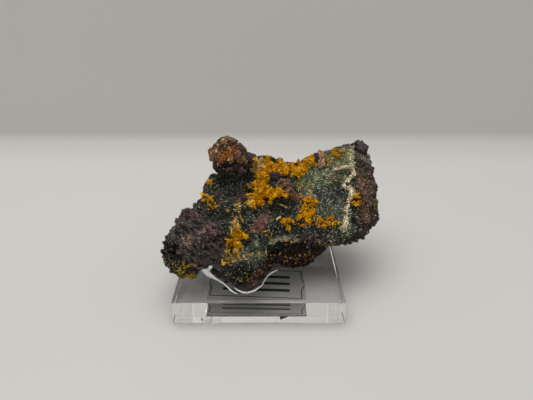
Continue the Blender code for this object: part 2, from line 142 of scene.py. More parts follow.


# %% [markdown]
# ## The places on the stone
#
# The stone's surface changes from place to place: a felt of grey-green needles on the flat face
# at the right, hair-like brown crystals on the lobe at the left, a cream vein, rusty stains. Each
# such place is written down as a line between two points with a radius inside which it is full
# and one outside which it is gone. The crystals use them to know where to grow, and the vein and
# the pits reach the shader as numbers on the corners; the shader's stains are a list of their own,
# in the same form. Painting by hand or an image would also do it, but a list can be read and
# changed.

# %% Places
PLACES = {
    "slab, upper": ((12.0, 5.2, 27.2), (21.0, 7.3, 28.8), 3.6, 5.2),
    "slab, lower": ((13.0, -1.5, 22.6), (18.6, -5.6, 18.8), 4.2, 6.0),
    "slab, top": ((17.0, 8.8, 30.0), (23.2, 11.5, 31.4), 2.2, 3.8),
    "lobe": ((-19.5, -8.6, 19.4), (-12.6, -12.0, 16.4), 5.6, 7.8),
    "hump": ((4.4, -0.2, 27.4), (9.2, -1.4, 24.6), 2.2, 3.4),
    "knob": ((-9.2, 5.0, 33.6), (-5.6, 6.0, 32.0), 4.6, 6.2),
    "column": ((-4.2, 2.4, 28.6), (-4.8, -0.8, 23.6), 1.2, 2.2),
    "edge face": ((28.2, 11.5, 30.0), (28.6, -2.0, 17.0), 3.2, 4.6),
    "shoulder": ((-12.5, 0.5, 24.0), (-7.5, -3.0, 22.5), 3.4, 5.4),
    "lower edge": ((28.6, -3.0, 16.6), (21.0, -8.6, 13.8), 1.6, 2.8),
    "foot": ((-4.4, -15.4, 9.4), (-0.6, -14.8, 8.6), 2.6, 4.4),
    "under block": ((3.0, -10.2, 11.4), (15.5, -8.6, 11.6), 2.6, 3.8),
    "corner lump": ((26.4, 13.6, 32.2), (28.8, 13.6, 31.2), 1.2, 2.4),
    "tan lump": ((15.8, 9.6, 30.4), (16.0, 7.4, 29.2), 0.9, 1.6),
    "splinter's bed": ((19.0, 4.9, 27.9), (24.0, 6.0, 28.3), 0.4, 0.9),
    "middle's smooth dark": ((4.6, -7.2, 18.2), (8.6, -6.6, 17.6), 0.9, 2.2),
}
VEIN = [
    (24.3, 6.3, 28.0), (24.7, 5.7, 27.1), (22.7, 3.6, 26.2), (21.6, 2.7, 25.1),
    (23.5, 2.1, 24.5), (23.3, 0.6, 23.3), (22.1, -1.9, 21.8), (21.4, -3.1, 21.0),
    (21.5, -4.6, 19.5), (20.6, -7.0, 17.6),
]
# Each pit below is sunk in the relief and painted near black as shade; the rows under the knob and
# under the splinter are their painted shadows.
PITS_WITH_PAINTED_SHADE = [
    ((24.5, -0.9, 21.2), (23.0, -3.2, 20.0), 0.5, 1.3),
    ((23.0, -3.2, 20.0), (22.6, -5.4, 18.0), 0.3, 0.9),
    ((-1.4, -12.5, 14.6), (2.0, -10.8, 14.4), 0.2, 0.8),
    ((2.6, -9.2, 14.2), (10.4, -8.3, 14.4), 0.3, 1.0),
    ((-9.6, 3.9, 26.0), (-4.9, 2.2, 26.6), 0.4, 1.4),
    ((19.4, 4.3, 27.2), (23.3, 5.1, 27.4), 0.2, 0.65),
    ((22.4, 3.0, 25.4), (22.6, 2.8, 25.2), 0.1, 0.6),
    ((21.2, -3.4, 20.2), (20.6, -3.4, 20.2), 0.1, 0.6),
    ((-4.4, -3.6, 21.6), (-3.4, -5.2, 20.4), 0.3, 1.0),
]
print(len(PLACES), "places and", len(PITS_WITH_PAINTED_SHADE), "pits on the stone")

# %% [markdown]
# ## How far a point lies in a place
#
# One measure and one curve answer this for every place: the distance to a line, and an even step
# from 1 inside the inner radius to 0 outside the outer one. The vein is a chain of such lines.

# %% Shares of the places
VEIN_TINT = (0.4, 0.95)


def smooth_step(values, empty, full):
    """0 where a value is at empty, 1 where it is at full, and an even curve between."""
    share = np.clip((values - empty) / (full - empty), 0, 1)
    return share * share * (3 - 2 * share)


def distance_to(points, start, end):
    """How far each point is from the line between two places."""
    start, end = np.asarray(start, float), np.asarray(end, float)
    span = end - start
    along = np.clip(((points - start) @ span) / max(span @ span, 1e-9), 0, 1)
    return np.linalg.norm(points - start - along[:, None] * span, axis=1)


def within(points, *names):
    """How far each point lies in the named places, from 0 to 1."""
    most = np.zeros(len(points))
    for name in names:
        start, end, inner, outer = PLACES[name]
        most = np.maximum(most, smooth_step(distance_to(points, start, end), outer, inner))
    return most


def share_of(points, table):
    """How far each place lies near the lines of a table, from 0 to 1."""
    reaches = [
        smooth_step(distance_to(points, start, end), outer, inner)
        for start, end, inner, outer in table
    ]
    return np.max(reaches, axis=0)


def along_vein(points, inner, outer):
    """How far each point lies on the cream vein, from 0 to 1."""
    nearest = np.min([distance_to(points, a, b) for a, b in zip(VEIN, VEIN[1:])], axis=0)
    return smooth_step(nearest, outer, inner)


lobe_start = np.array([PLACES["lobe"][0]])
print("where the lobe's line starts, the lobe's share is", within(lobe_start, "lobe")[0])

# %% [markdown]
# ## The bark on the lobe
#
# The lobe at the left is ridged like bark, with furrows between the ridges that are painted dark
# as shade. One noise gives both, so that the painted shade lies in the furrows: it is squeezed in
# one direction and stretched in the others, and its size at a point tells a ridge from a furrow.
# Furrows and pits are joined into one number that the materials paint near black, as shade.

# %% Bark
BARK_WAY = Vector((0.55, 0.35, 0.75)).normalized()
BARK_SIZE, BARK_STRETCH = 0.8, 0.3
# The second number below is how strongly the furrows are painted dark, as shade.
FURROW_RANGE, FURROW_SHADE = (0.16, 0.34), 0.7


def squeezed_by_bark(place):
    """A place for the bark's noise, which is stretched along the ridges."""
    across = place.dot(BARK_WAY)
    return ((place - across * BARK_WAY) * BARK_STRETCH + across * BARK_WAY) / BARK_SIZE


def furrow_share(points):
    """How far each point lies in a dark furrow of the lobe's bark, from 0 to 1."""
    furrows = within(points, "lobe")
    for index in np.flatnonzero(furrows > 0):
        furrows[index] *= abs(noise.noise(squeezed_by_bark(Vector(points[index]))))
    return smooth_step(furrows, *FURROW_RANGE)


def marks_at(points):
    """Two numbers for the materials: how far each point lies on the vein, and its painted shade in
    a pit or furrow.
    """
    painted_shade = np.maximum(share_of(points, PITS_WITH_PAINTED_SHADE), FURROW_SHADE * furrow_share(points))
    return {"vein": along_vein(points, *VEIN_TINT), "painted_shade": painted_shade}


print("bark squeezed along", tuple(round(part, 2) for part in BARK_WAY))

# %% [markdown]
# ## The stone
#
# The real stone broke out of a vein and weathered: it is lumpy at the scale of a finger tip,
# cracked and gritty at the scale of a grain of sand. The CAD solid has the lumps. Its flat
# triangles are melted down with a voxel remesh and a little smoothing, and then each corner is
# pushed along its own normal by noise. A Displace modifier with a texture could do that too, but
# code can mix several noises and calm them on the flat face.

# %% Remesh the stone
STONE_VOXEL = 0.28
SMOOTHING_ROUNDS = 4
WELD_DISTANCE = 0.002


def melted(node, voxel, rounds):
    """A CAD node's surface with its flat triangles melted away."""
    rough = bpy.data.objects.new("rough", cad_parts[node].data.copy())
    bpy.context.scene.collection.objects.link(rough)
    weld = rough.modifiers.new("weld", "WELD")
    weld.merge_threshold = WELD_DISTANCE * MM
    remesh = rough.modifiers.new("remesh", "REMESH")
    remesh.mode = "VOXEL"
    remesh.voxel_size = voxel * MM
    melt = rough.modifiers.new("melt", "SMOOTH")
    melt.iterations = rounds
    graph = bpy.context.evaluated_depsgraph_get()
    mesh = bpy.data.meshes.new_from_object(rough.evaluated_get(graph))
    bpy.data.objects.remove(rough)
    return mesh


stone_mesh = melted("matrix", STONE_VOXEL, SMOOTHING_ROUNDS)
print("stone after the remesh:", len(stone_mesh.vertices), "corners")

# %% [markdown]
# ## Weather the stone
#
# Several kinds of relief are mixed. Gritty lumps with cracks between them cover everything and
# are calm on the flat face. Broken faces have crags: each cell of a Voronoi pattern is lifted by
# an amount of its own, so that it stands as a block. The lobe has its bark, and the vein stands
# out as a low ridge. Last, a few pits and the cracks under the middle are sunk where the
# photograph is black. The whole surface first sinks a little, to leave room for its needles.

# %% Weather the stone
LUMP_SIZE, LUMP_HEIGHT = 2.2, 0.7
LUMP_MIDDLE = 0.45
CRACK_HEIGHT, CRACK_MIDDLE = 0.45, 0.7
CRACK_SHARPNESS = 2.4
GRIT_SIZE, GRIT_HEIGHT = 0.9, 0.3
FRACTAL = (0.8, 2.1, 3)
CRAG = (1.2, 0.4)
KNOB_CRAG = (1.8, 0.8)
CRAG_SHUFFLE = (97.0, 57.0, 31.0)
CRAG_GAP_DEPTH, CRAG_GAP_SHARPNESS = 0.3, 4.0
BARK_HEIGHT = 0.8
FLAT_CALM, BROKEN_CALM = 0.6, 0.6
FELT_THICKNESS = 0.3
VEIN_RISE, VEIN_RIDGE = 0.3, (0.3, 0.9)
PIT_DEPTH = 0.9


def relief_at(place):
    """How far the weathered rock stands out at a place, in millimetres."""
    nearest, second = noise.voronoi(place / LUMP_SIZE)[0][:2]
    lump = LUMP_HEIGHT * (LUMP_MIDDLE - nearest)
    crack = CRACK_HEIGHT * (min((second - nearest) * CRACK_SHARPNESS, 1.0) - CRACK_MIDDLE)
    grit = GRIT_HEIGHT * noise.fractal(place / GRIT_SIZE, *FRACTAL)
    return lump + crack + grit


def crag_at(place, size, height):
    """The lift of the block of broken rock at a place, and a number of the block's own."""
    distances, centres = noise.voronoi(place / size)
    shuffled = sum(factor * part for factor, part in zip(CRAG_SHUFFLE, centres[0]))
    own = 0.5 + 0.5 * math.sin(shuffled)
    gap = min((distances[1] - distances[0]) * CRAG_GAP_SHARPNESS, 1.0)
    return height * (own - 0.5) + CRAG_GAP_DEPTH * (gap - 1), own


def bark_at(place):
    """Ridges that run across the lobe like bark, in millimetres."""
    return BARK_HEIGHT * (0.5 - abs(noise.noise(squeezed_by_bark(place))) * 2)


smooth_points, outward = points_of(stone_mesh), normals_of(stone_mesh)
relief = np.array([relief_at(Vector(point)) for point in smooth_points])
flat_face = within(smooth_points, "slab, upper", "slab, lower", "slab, top")
relief *= 1 - FLAT_CALM * flat_face
broken = within(smooth_points, "edge face", "knob", "under block", "tan lump")
relief *= 1 - BROKEN_CALM * broken
relief -= FELT_THICKNESS
chunk = np.full(len(smooth_points), 0.5)
on_knob = within(smooth_points, "knob") > 0
for index in np.flatnonzero(broken > 0):
    kind = KNOB_CRAG if on_knob[index] else CRAG
    lift, own = crag_at(Vector(smooth_points[index]), *kind)
    relief[index] += broken[index] * lift
    chunk[index] += broken[index] * (own - 0.5)
lobe_part = within(smooth_points, "lobe")
for index in np.flatnonzero(lobe_part > 0):
    relief[index] += lobe_part[index] * bark_at(Vector(smooth_points[index]))
relief += VEIN_RISE * along_vein(smooth_points, *VEIN_RIDGE)
for start, end, inner, outer in PITS_WITH_PAINTED_SHADE:
    relief -= PIT_DEPTH * smooth_step(distance_to(smooth_points, start, end), outer, inner)
stone_points = smooth_points + outward * relief[:, None]
stone_triangles = triangles_of(stone_mesh)
print("relief from", round(relief.min(), 2), "to", round(relief.max(), 2), "mm")

# %% [markdown]
# ## Helpers for materials
#
# A material here is a small tree of nodes. One helper adds a node and sets or wires its inputs,
# another makes a node group with named inputs and outputs, so that an effect is built once and
# used in every material that needs it.

# %% Node helpers
def add_node(tree, kind, inputs=None, **settings):
    """Add a node to a tree, set its options, and set or wire its inputs."""
    node = tree.nodes.new(kind)
    for option, value in settings.items():
        setattr(node, option, value)
    for socket, value in (inputs or {}).items():
        if isinstance(value, bpy.types.NodeSocket):
            tree.links.new(value, node.inputs[socket])
        else:
            node.inputs[socket].default_value = value
    return node


def calculate(tree, operation, first, second=0.0):
    """The output of a Math node."""
    return add_node(tree, "ShaderNodeMath", {0: first, 1: second}, operation=operation).outputs[0]


def vector_step(tree, operation, first, second=(0, 0, 0), result="Vector"):
    """An output of a Vector Math node."""
    node = add_node(tree, "ShaderNodeVectorMath", {0: first, 1: second}, operation=operation)
    return node.outputs[result]


def mix_colours(tree, share, first, second, blend="MIX"):
    """The output of a Mix node for colours."""
    node = add_node(tree, "ShaderNodeMix", data_type="RGBA", blend_type=blend)
    for socket, value in ((0, share), (6, first), (7, second)):
        if isinstance(value, bpy.types.NodeSocket):
            tree.links.new(value, node.inputs[socket])
        else:
            node.inputs[socket].default_value = value
    return node.outputs[2]


def remap(tree, value, low, high, to_low=0.0, to_high=1.0, curve="LINEAR"):
    """The output of a Map Range node."""
    node = add_node(
        tree,
        "ShaderNodeMapRange",
        {"Value": value, "From Min": low, "From Max": high, "To Min": to_low, "To Max": to_high},
        interpolation_type=curve,
    )
    return node.outputs["Result"]


def new_group(name, takes, gives):
    """A node group with named sockets, and the sockets inside it."""
    tree = bpy.data.node_groups.new(name, "ShaderNodeTree")
    for label, kind, value in takes:
        socket = tree.interface.new_socket(label, in_out="INPUT", socket_type="NodeSocket" + kind)
        socket.default_value = value
    for label, kind in gives:
        tree.interface.new_socket(label, in_out="OUTPUT", socket_type="NodeSocket" + kind)
    inside = tree.nodes.new("NodeGroupInput")
    result = tree.nodes.new("NodeGroupOutput")
    return tree, inside.outputs, result.inputs


def use_group(tree, group, inputs):
    """Place a node group in a tree."""
    node = tree.nodes.new("ShaderNodeGroup")
    node.node_tree = group
    for socket, value in inputs.items():
        if isinstance(value, bpy.types.NodeSocket):
            tree.links.new(value, node.inputs[socket])
        else:
            node.inputs[socket].default_value = value
    return node


def new_material(name):
    """A material with a Principled BSDF, and the tree and the shader to work on."""
    material = bpy.data.materials.new(name)
    material.use_nodes = True
    return material, material.node_tree, material.node_tree.nodes["Principled BSDF"]


def place_on_object(tree):
    """Where a point is on the object, in millimetres."""
    there = tree.nodes.new("ShaderNodeTexCoord").outputs["Object"]
    return vector_step(tree, "MULTIPLY", there, (1000, 1000, 1000))


def carried(tree, label, output="Fac"):
    """A number that the mesh carries on its corners."""
    return add_node(tree, "ShaderNodeAttribute", attribute_name=label).outputs[output]


def clouds(tree, place, scale, detail, output="Fac"):
    """The output of a Noise Texture node."""
    node = add_node(
        tree, "ShaderNodeTexNoise", {"Vector": place, "Scale": scale, "Detail": detail}
    )
    return node.outputs[output]


print("node helpers ready in Blender", bpy.app.version_string)


# %% [markdown]
# ## Group: stain
#
# A stain is the shader's twin of a place on the stone: a mask that is 1 near a line between two
# points and fades to 0 at its rim. Distance to a line takes a handful of vector nodes, so it is
# worth a group.

# %% Stain group
stain, given, gives = new_group(
    "stain",
    [("Place", "Vector", (0, 0, 0)), ("Start", "Vector", (0, 0, 0)), ("Span", "Vector", (0, 0, 0)),
     ("Inner", "Float", 1.0), ("Outer", "Float", 2.0)],
    [("Mask", "Float")],
)
away = vector_step(stain, "SUBTRACT", given["Place"], given["Start"])
ahead = vector_step(stain, "DOT_PRODUCT", away, given["Span"], "Value")
length_squared = vector_step(stain, "DOT_PRODUCT", given["Span"], given["Span"], "Value")
share = add_node(
    stain, "ShaderNodeMath", {0: ahead, 1: length_squared}, operation="DIVIDE", use_clamp=True
).outputs[0]
scaled = add_node(
    stain, "ShaderNodeVectorMath", {0: given["Span"], "Scale": share}, operation="SCALE"
).outputs[0]
reach = vector_step(stain, "LENGTH", vector_step(stain, "SUBTRACT", away, scaled), result="Value")
mask = remap(stain, reach, given["Outer"], given["Inner"], curve="SMOOTHSTEP")
stain.links.new(mask, gives["Mask"])
print("stain group:", len(stain.nodes), "nodes")

# %% [markdown]
# ## Group: ground colour
#
# This is the map of the stone's local colours. It starts from the dark grey-green that most of
# the stone has, bends the place with noise so that no stain has a clean rim, and lays the stains
# over one another in order. Two of them are painted shade, not colours of the stone: the crack by
# the vein and the shadow under the knob. Small stains are bent only a little, so that they stay
# where the relief has their pit or ridge. Rock and crystals both ask it for their colour, each
# with its own place, so a needle takes the tone of the ground it grows on. Past about sixty stains
# the tree is too large for the renderer and the stone turns black, so the many short pieces of
# the vein and the painted shade of the pits and furrows aren't stains: each corner carries two
# numbers for them.

# %% Ground colour group
DARK_GROUND = srgb(88, 90, 84)
STAINS = [
    ("shoulder", (-12.0, 0.5, 24.0), (-7.0, -3.0, 22.5), 3.0, 5.0, srgb(92, 92, 86), 0.8),
    ("slab, upper", (12.5, 4.6, 26.9), (21.0, 7.0, 28.7), 3.4, 5.4, srgb(134, 140, 112), 1.0),
    ("slab, lower", (13.6, -1.5, 22.6), (19.6, -4.4, 19.4), 3.6, 5.6, srgb(104, 110, 94), 1.0),
    ("slab, foot", (14.0, -6.6, 18.0), (19.5, -7.0, 16.9), 1.6, 3.2, srgb(62, 67, 66), 0.95),
    ("slab, top", (17.2, 8.6, 29.8), (22.8, 10.6, 30.8), 1.8, 4.0, srgb(140, 138, 98), 1.0),
    ("round patch", (15.8, -0.2, 24.3), (18.4, 0.4, 24.4), 1.6, 2.9, srgb(84, 87, 87), 0.95),
    ("pale felt", (12.4, 0.6, 24.4), (13.2, -0.8, 22.8), 0.5, 1.7, srgb(176, 172, 140), 0.9),
    ("green by crest", (9.4, 4.9, 26.2), (15.0, 3.4, 26.0), 0.8, 2.2, srgb(112, 130, 102), 0.8),
    ("middle", (-0.5, -3.6, 21.0), (9.0, -6.0, 18.0), 3.2, 5.4, srgb(84, 88, 78), 0.8),
    ("lobe", (-19.5, -8.6, 19.4), (-12.6, -12.4, 16.4), 4.8, 7.6, srgb(122, 112, 106), 1.0),
    ("lobe, purple", (-18.4, -6.4, 21.9), (-14.6, -6.4, 21.4), 0.6, 2.0, srgb(124, 88, 90), 0.9),
    ("lobe, pink", (-12.5, -11.4, 19.6), (-11.3, -9.6, 19.4), 0.5, 1.9, srgb(204, 158, 148), 0.9),
    ("lobe, tan", (-16.6, -13.6, 19.0), (-15.4, -14.0, 18.2), 0.5, 1.8, srgb(200, 170, 152), 0.9),
    ("lobe, rim", (-22.5, -11.5, 15.5), (-18.0, -15.4, 12.0), 1.6, 3.8, srgb(64, 60, 62), 1.0),
    ("knob", (-9.4, 4.6, 33.8), (-5.6, 5.0, 32.4), 3.8, 6.0, srgb(156, 121, 94), 1.0),
    ("knob's rust", (-9.0, 2.0, 32.6), (-6.0, 5.0, 34.6), 0.7, 1.7, srgb(176, 112, 44), 0.95),
    ("knob's tan side", (-11.8, 4.8, 33.6), (-11.6, 4.8, 31.4), 0.7, 1.9, srgb(190, 140, 86), 0.9),
    # The next stain is a painted shadow under the knob's overhang, not a colour of the stone.
    ("painted shadow under the knob", (-9.0, 1.6, 29.4), (-3.4, 3.2, 29.8), 1.3, 2.8, srgb(50, 44, 43), 0.95),
    ("knob's purple", (-8.4, 1.6, 30.4), (-6.6, 1.6, 30.0), 0.3, 1.2, srgb(112, 82, 82), 0.8),
    ("column", (-4.2, 2.2, 28.4), (-4.8, -1.4, 23.4), 0.9, 2.0, srgb(114, 86, 84), 0.9),
    ("purple patch", (-0.6, -7.6, 18.8), (1.6, -4.9, 20.0), 1.0, 2.0, srgb(172, 122, 112), 1.0),
    ("purple ledge", (8.2, -8.6, 15.4), (14.4, -8.6, 15.9), 0.7, 1.9, srgb(104, 72, 74), 0.9),
    ("hump's dark side", (3.0, 1.6, 27.6), (5.0, 0.2, 27.8), 1.2, 2.4, srgb(64, 66, 68), 1.0),
    ("hump's brown side", (6.6, -0.8, 27.0), (9.4, -1.6, 24.4), 1.6, 3.0, srgb(136, 102, 88), 1.0),
    ("green druse", (-7.0, -13.2, 13.8), (2.2, -12.6, 13.4), 1.0, 2.4, srgb(132, 134, 108), 0.85),
    ("under block", (4.0, -10.6, 11.2), (14.6, -9.2, 11.2), 2.2, 3.8, srgb(54, 40, 34), 1.0),
    ("foot", (-4.0, -15.4, 9.6), (-1.0, -15.4, 9.0), 1.8, 3.6, srgb(50, 44, 40), 1.0),
    ("foot's red side", (-0.9, -14.9, 8.1), (0.8, -14.3, 10.3), 0.8, 1.8, srgb(128, 84, 78), 0.9),
    ("edge face", (28.2, 10.5, 29.4), (28.4, -2.4, 17.4), 3.0, 5.0, srgb(104, 92, 82), 1.0),
    ("lower edge", (28.6, -3.0, 16.6), (21.0, -8.6, 13.8), 1.6, 3.0, srgb(74, 66, 60), 0.9),
    ("edge, grey top", (27.4, 13.4, 31.6), (29.2, 12.6, 29.8), 2.0, 4.0, srgb(150, 145, 128), 0.9),
    ("edge, pink", (26.6, 4.6, 25.0), (26.4, 2.6, 23.4), 0.7, 1.9, srgb(156, 120, 104), 0.8),
    ("edge, pink foot", (26.6, 0.2, 20.8), (27.4, -2.0, 18.2), 0.6, 1.9, srgb(150, 116, 98), 0.8),
    ("edge, olive", (27.4, 8.0, 27.6), (27.0, 6.0, 26.2), 0.6, 2.0, srgb(116, 112, 84), 0.8),
    ("corner lump", (26.4, 13.6, 32.2), (28.8, 13.6, 31.2), 1.4, 2.4, srgb(74, 68, 66), 1.0),
    # The next stain is painted shade in the crack beside the vein.
    ("painted shade in crack by vein", (23.9, 0.2, 22.6), (23.2, -5.4, 17.4), 0.4, 1.5, srgb(40, 36, 32), 0.9),
    ("back, rust", (-8.0, 12.6, 20.0), (3.0, 15.4, 24.0), 1.6, 5.0, srgb(122, 88, 60), 0.8),
    ("back, brown", (12.0, 17.4, 23.0), (25.0, 17.2, 24.0), 2.0, 6.0, srgb(104, 86, 70), 0.8),
    ("back, pale seam", (2.0, 14.6, 14.0), (21.0, 14.6, 18.0), 0.4, 1.7, srgb(150, 140, 112), 0.7),
    ("back, ochre", (6.0, 15.8, 21.4), (11.0, 17.0, 19.0), 0.5, 2.2, srgb(150, 112, 52), 0.7),
    ("middle, dark", (4.6, -7.2, 18.2), (8.6, -6.6, 17.6), 0.9, 2.2, srgb(66, 70, 72), 0.9),
    ("tan lump", (15.8, 9.6, 30.4), (16.0, 7.4, 29.2), 0.7, 1.5, srgb(196, 150, 118), 1.0),
    ("tan patch", (17.2, 3.2, 26.4), (18.8, 4.2, 27.0), 0.3, 1.2, srgb(176, 140, 112), 0.9),
    ("pale strip", (24.4, 12.1, 31.6), (24.2, 6.8, 28.4), 0.5, 1.7, srgb(196, 196, 156), 0.95),
    ("crack, rim", (-0.9, -11.0, 16.2), (8.6, -8.2, 16.2), 0.5, 1.4, srgb(196, 198, 168), 0.9),
]
# The near black below is painted shade, for the pits and the lobe's furrows.
VEIN_TONE, PAINTED_SHADE_TONE = srgb(232, 220, 184), srgb(20, 18, 16)
DARKER_GROUND, MOTTLE_SCALE, MOTTLE_RANGE = srgb(66, 66, 62), 0.5, (0.4, 0.65)
COARSE_BEND, FINE_BEND = (2.6, 0.35), (0.9, 1.6)
SMALL_STAIN = 1.6

ground, given, gives = new_group(
    "ground colour",
    [("Place", "Vector", (0, 0, 0)), ("Vein", "Float", 0.0), ("Painted_shade", "Float", 0.0)],
    [("Colour", "Color")],
)
bends = []
for amount, scale in (COARSE_BEND, FINE_BEND):
    wave = clouds(ground, given["Place"], scale, 2.0, "Color")
    centred = vector_step(ground, "SUBTRACT", wave, (0.5, 0.5, 0.5))
    bends.append(vector_step(ground, "MULTIPLY", centred, (amount, amount, amount)))
ruffled = vector_step(ground, "ADD", given["Place"], bends[1])
bent = vector_step(ground, "ADD", ruffled, bends[0])
mottle = remap(ground, clouds(ground, given["Place"], MOTTLE_SCALE, 4.0), *MOTTLE_RANGE)
colour = mix_colours(ground, mottle, DARK_GROUND, DARKER_GROUND)
for label, start, end, inner, outer, tone, strength in STAINS:
    one = use_group(ground, stain, {
        "Place": ruffled if outer < SMALL_STAIN else bent,
        "Start": start,
        "Span": tuple(np.subtract(end, start)),
        "Inner": inner,
        "Outer": outer,
    })
    one.label = label
    amount = calculate(ground, "MULTIPLY", one.outputs["Mask"], strength)
    colour = mix_colours(ground, amount, colour, tone)
colour = mix_colours(ground, given["Vein"], colour, VEIN_TONE)
colour = mix_colours(ground, given["Painted_shade"], colour, PAINTED_SHADE_TONE)
ground.links.new(colour, gives["Colour"])
print("ground colour:", len(STAINS), "stains")


def ground_colour_at(tree, place):
    """The stone's colour at a place, with the vein and the painted shade of pits and furrows that
    its corners carry.
    """
    marks = {label: carried(tree, label.lower()) for label in ("Vein", "Painted_shade")}
    return use_group(tree, ground, {"Place": place, **marks}).outputs["Colour"]


# %% [markdown]
# ## Group: grains
#
# Weathered rock is speckled: each grain of a third of a millimetre has its own tone. The gaps
# between grains are sunk in the bump and painted darker, as shade. A Voronoi texture gives both, a
# random value for each cell and the distance to the cell's edge.

# %% Grains group
MIDDLE_TONE = 0.45
GAP_WIDTH, GAP_SHADE_LEVEL = 0.12, 0.45

grains, given, gives = new_group(
    "grains",
    [("Place", "Vector", (0, 0, 0)), ("Colour", "Color", (0.5, 0.5, 0.5, 1)),
     ("Scale", "Float", 2.5), ("Contrast", "Float", 0.6)],
    [("Colour", "Color"), ("Height", "Float")],
)
cells = add_node(
    grains, "ShaderNodeTexVoronoi", {"Vector": given["Place"], "Scale": given["Scale"]}
)
edges = add_node(
    grains,
    "ShaderNodeTexVoronoi",
    {"Vector": given["Place"], "Scale": given["Scale"]},
    feature="DISTANCE_TO_EDGE",
)
tone = add_node(grains, "ShaderNodeSeparateColor", {"Color": cells.outputs["Color"]}).outputs[0]
centred = calculate(grains, "SUBTRACT", tone, MIDDLE_TONE)
spread = calculate(grains, "MULTIPLY", centred, given["Contrast"])
bright = calculate(grains, "ADD", spread, 1.0)
# The gaps between grains are painted darker here, as shade in the cracks.
gap = remap(grains, edges.outputs["Distance"], 0.0, GAP_WIDTH, GAP_SHADE_LEVEL, 1.0)
factor = calculate(grains, "MULTIPLY", bright, gap)
toned = vector_step(grains, "MULTIPLY", given["Colour"], factor)
grains.links.new(toned, gives["Colour"])
grains.links.new(calculate(grains, "MULTIPLY", tone, gap), gives["Height"])
print("grains group:", len(grains.nodes), "nodes")

# %% [markdown]
# ## Group: crystal tone
#
# Seen close up, no two needles of a druse are alike: each has its own tone. Each is also painted
# darker at its foot, as shade among crowded needles, and paler at its tip, as light. Each needle
# carries a random number and how far along it a point lies, and this group turns the two into a
# colour.

# %% Crystal tone group
crystal_tone, given, gives = new_group(
    "crystal tone",
    [("Foot", "Color", (0.1, 0.1, 0.1, 1)), ("Tip", "Color", (0.5, 0.5, 0.5, 1)),
     ("Pick", "Float", 0.5), ("Along", "Float", 0.5), ("Variety", "Float", 0.6)],
    [("Colour", "Color")],
)
blend = mix_colours(crystal_tone, given["Along"], given["Foot"], given["Tip"])
centred = calculate(crystal_tone, "SUBTRACT", given["Pick"], 0.5)
spread = calculate(crystal_tone, "MULTIPLY", centred, given["Variety"])
factor = calculate(crystal_tone, "ADD", spread, 1.0)
crystal_tone.links.new(vector_step(crystal_tone, "MULTIPLY", blend, factor), gives["Colour"])
print("crystal tone group:", len(crystal_tone.nodes), "nodes")

# %% [markdown]
# ## The bare rock
#
# Where no crystals cover it, the rock is dull and gritty: a rough Principled surface, the ground
# colour broken up by the grains, and a fine bump from the same grains so that colour and relief
# fall together. Each block of the broken faces has a level of its own between two limits.

# %% Rock material
ROCK_LEVELS = (0.25, 0.75)
ROCK_GRAINS = {"Scale": 2.6, "Contrast": 1.2}
BUMP_STRENGTH, BUMP_DEPTH = 0.5, 0.12

rock, tree, shader = new_material("rock")
where = place_on_object(tree)
local = ground_colour_at(tree, where)
level = remap(tree, carried(tree, "chunk"), 0.0, 1.0, *ROCK_LEVELS)
speckled = use_group(tree, grains, {"Place": where, "Colour": local, **ROCK_GRAINS})
darker = vector_step(tree, "MULTIPLY", speckled.outputs["Colour"], level)
tree.links.new(darker, shader.inputs["Base Color"])
bump = add_node(
    tree,
    "ShaderNodeBump",
    {
        "Height": speckled.outputs["Height"],
        "Strength": BUMP_STRENGTH,
        "Distance": BUMP_DEPTH * MM,
    },
)
tree.links.new(bump.outputs["Normal"], shader.inputs["Normal"])
shader.inputs["Roughness"].default_value = 0.75
shader.inputs["Specular IOR Level"].default_value = 0.1

marks = {"chunk": chunk, **marks_at(stone_points)}
stone = make_piece("stone", stone_points, stone_triangles, rock, marks)
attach(stone, "root")
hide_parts("matrix")
print("stone:", len(stone_triangles), "triangles")

# %% [markdown]
# ## Growing crystals
#
# A needle is a thin closed prism with a pointed end. Thousands could be instanced with a
# particle system or geometry nodes, but then the meshes wouldn't be part of the model, so all of
# a kind are worked out at once as one mesh. Each needle needs a root, a direction, a length and
# a width.

# %% Crystal builder
STEEP = 0.9


def grow(roots, ways, lengths, widths, sides, shoulder, taper, rng):
    """Points, triangles and named numbers of closed, pointed prisms."""
    count = len(roots)
    helper = np.where(np.abs(ways[:, 2:]) < STEEP, (0.0, 0.0, 1.0), (1.0, 0.0, 0.0))
    across = unit(np.cross(ways, helper))
    upward = np.cross(ways, across)
    turns = rng.uniform(0, 2 * math.pi, (count, 1)) + np.arange(sides) * 2 * math.pi / sides
    ring = np.cos(turns)[:, :, None] * across[:, None]
    ring = ring + np.sin(turns)[:, :, None] * upward[:, None]
    ring *= widths[:, None, None] / 2
    foot = roots[:, None] + ring
    neck = roots[:, None] + (ways * (lengths * shoulder)[:, None])[:, None] + ring * taper
    tip = (roots + ways * lengths[:, None])[:, None]
    points = np.concatenate([foot, neck, tip], axis=1)

    here = np.arange(sides)
    after = (here + 1) % sides
    wall = np.stack([here, after, sides + after], 1)
    other_wall = np.stack([here, sides + after, sides + here], 1)
    point = np.stack([sides + here, sides + after, np.full(sides, 2 * sides)], 1)
    floor = np.stack([np.zeros(sides - 2, int), here[2:], here[1:-1]], 1)
    one = np.concatenate([wall, other_wall, point, floor])
    corners = 2 * sides + 1
    faces = (one[None] + (np.arange(count) * corners)[:, None, None]).reshape(-1, 3)

    along = np.tile([0.0] * sides + [shoulder] * sides + [1.0], count)
    numbers = {
        "along": along,
        "pick": np.repeat(rng.uniform(0, 1, count), corners),
        "root": np.repeat(roots, corners, axis=0),
    }
    return points.reshape(-1, 3), faces, numbers


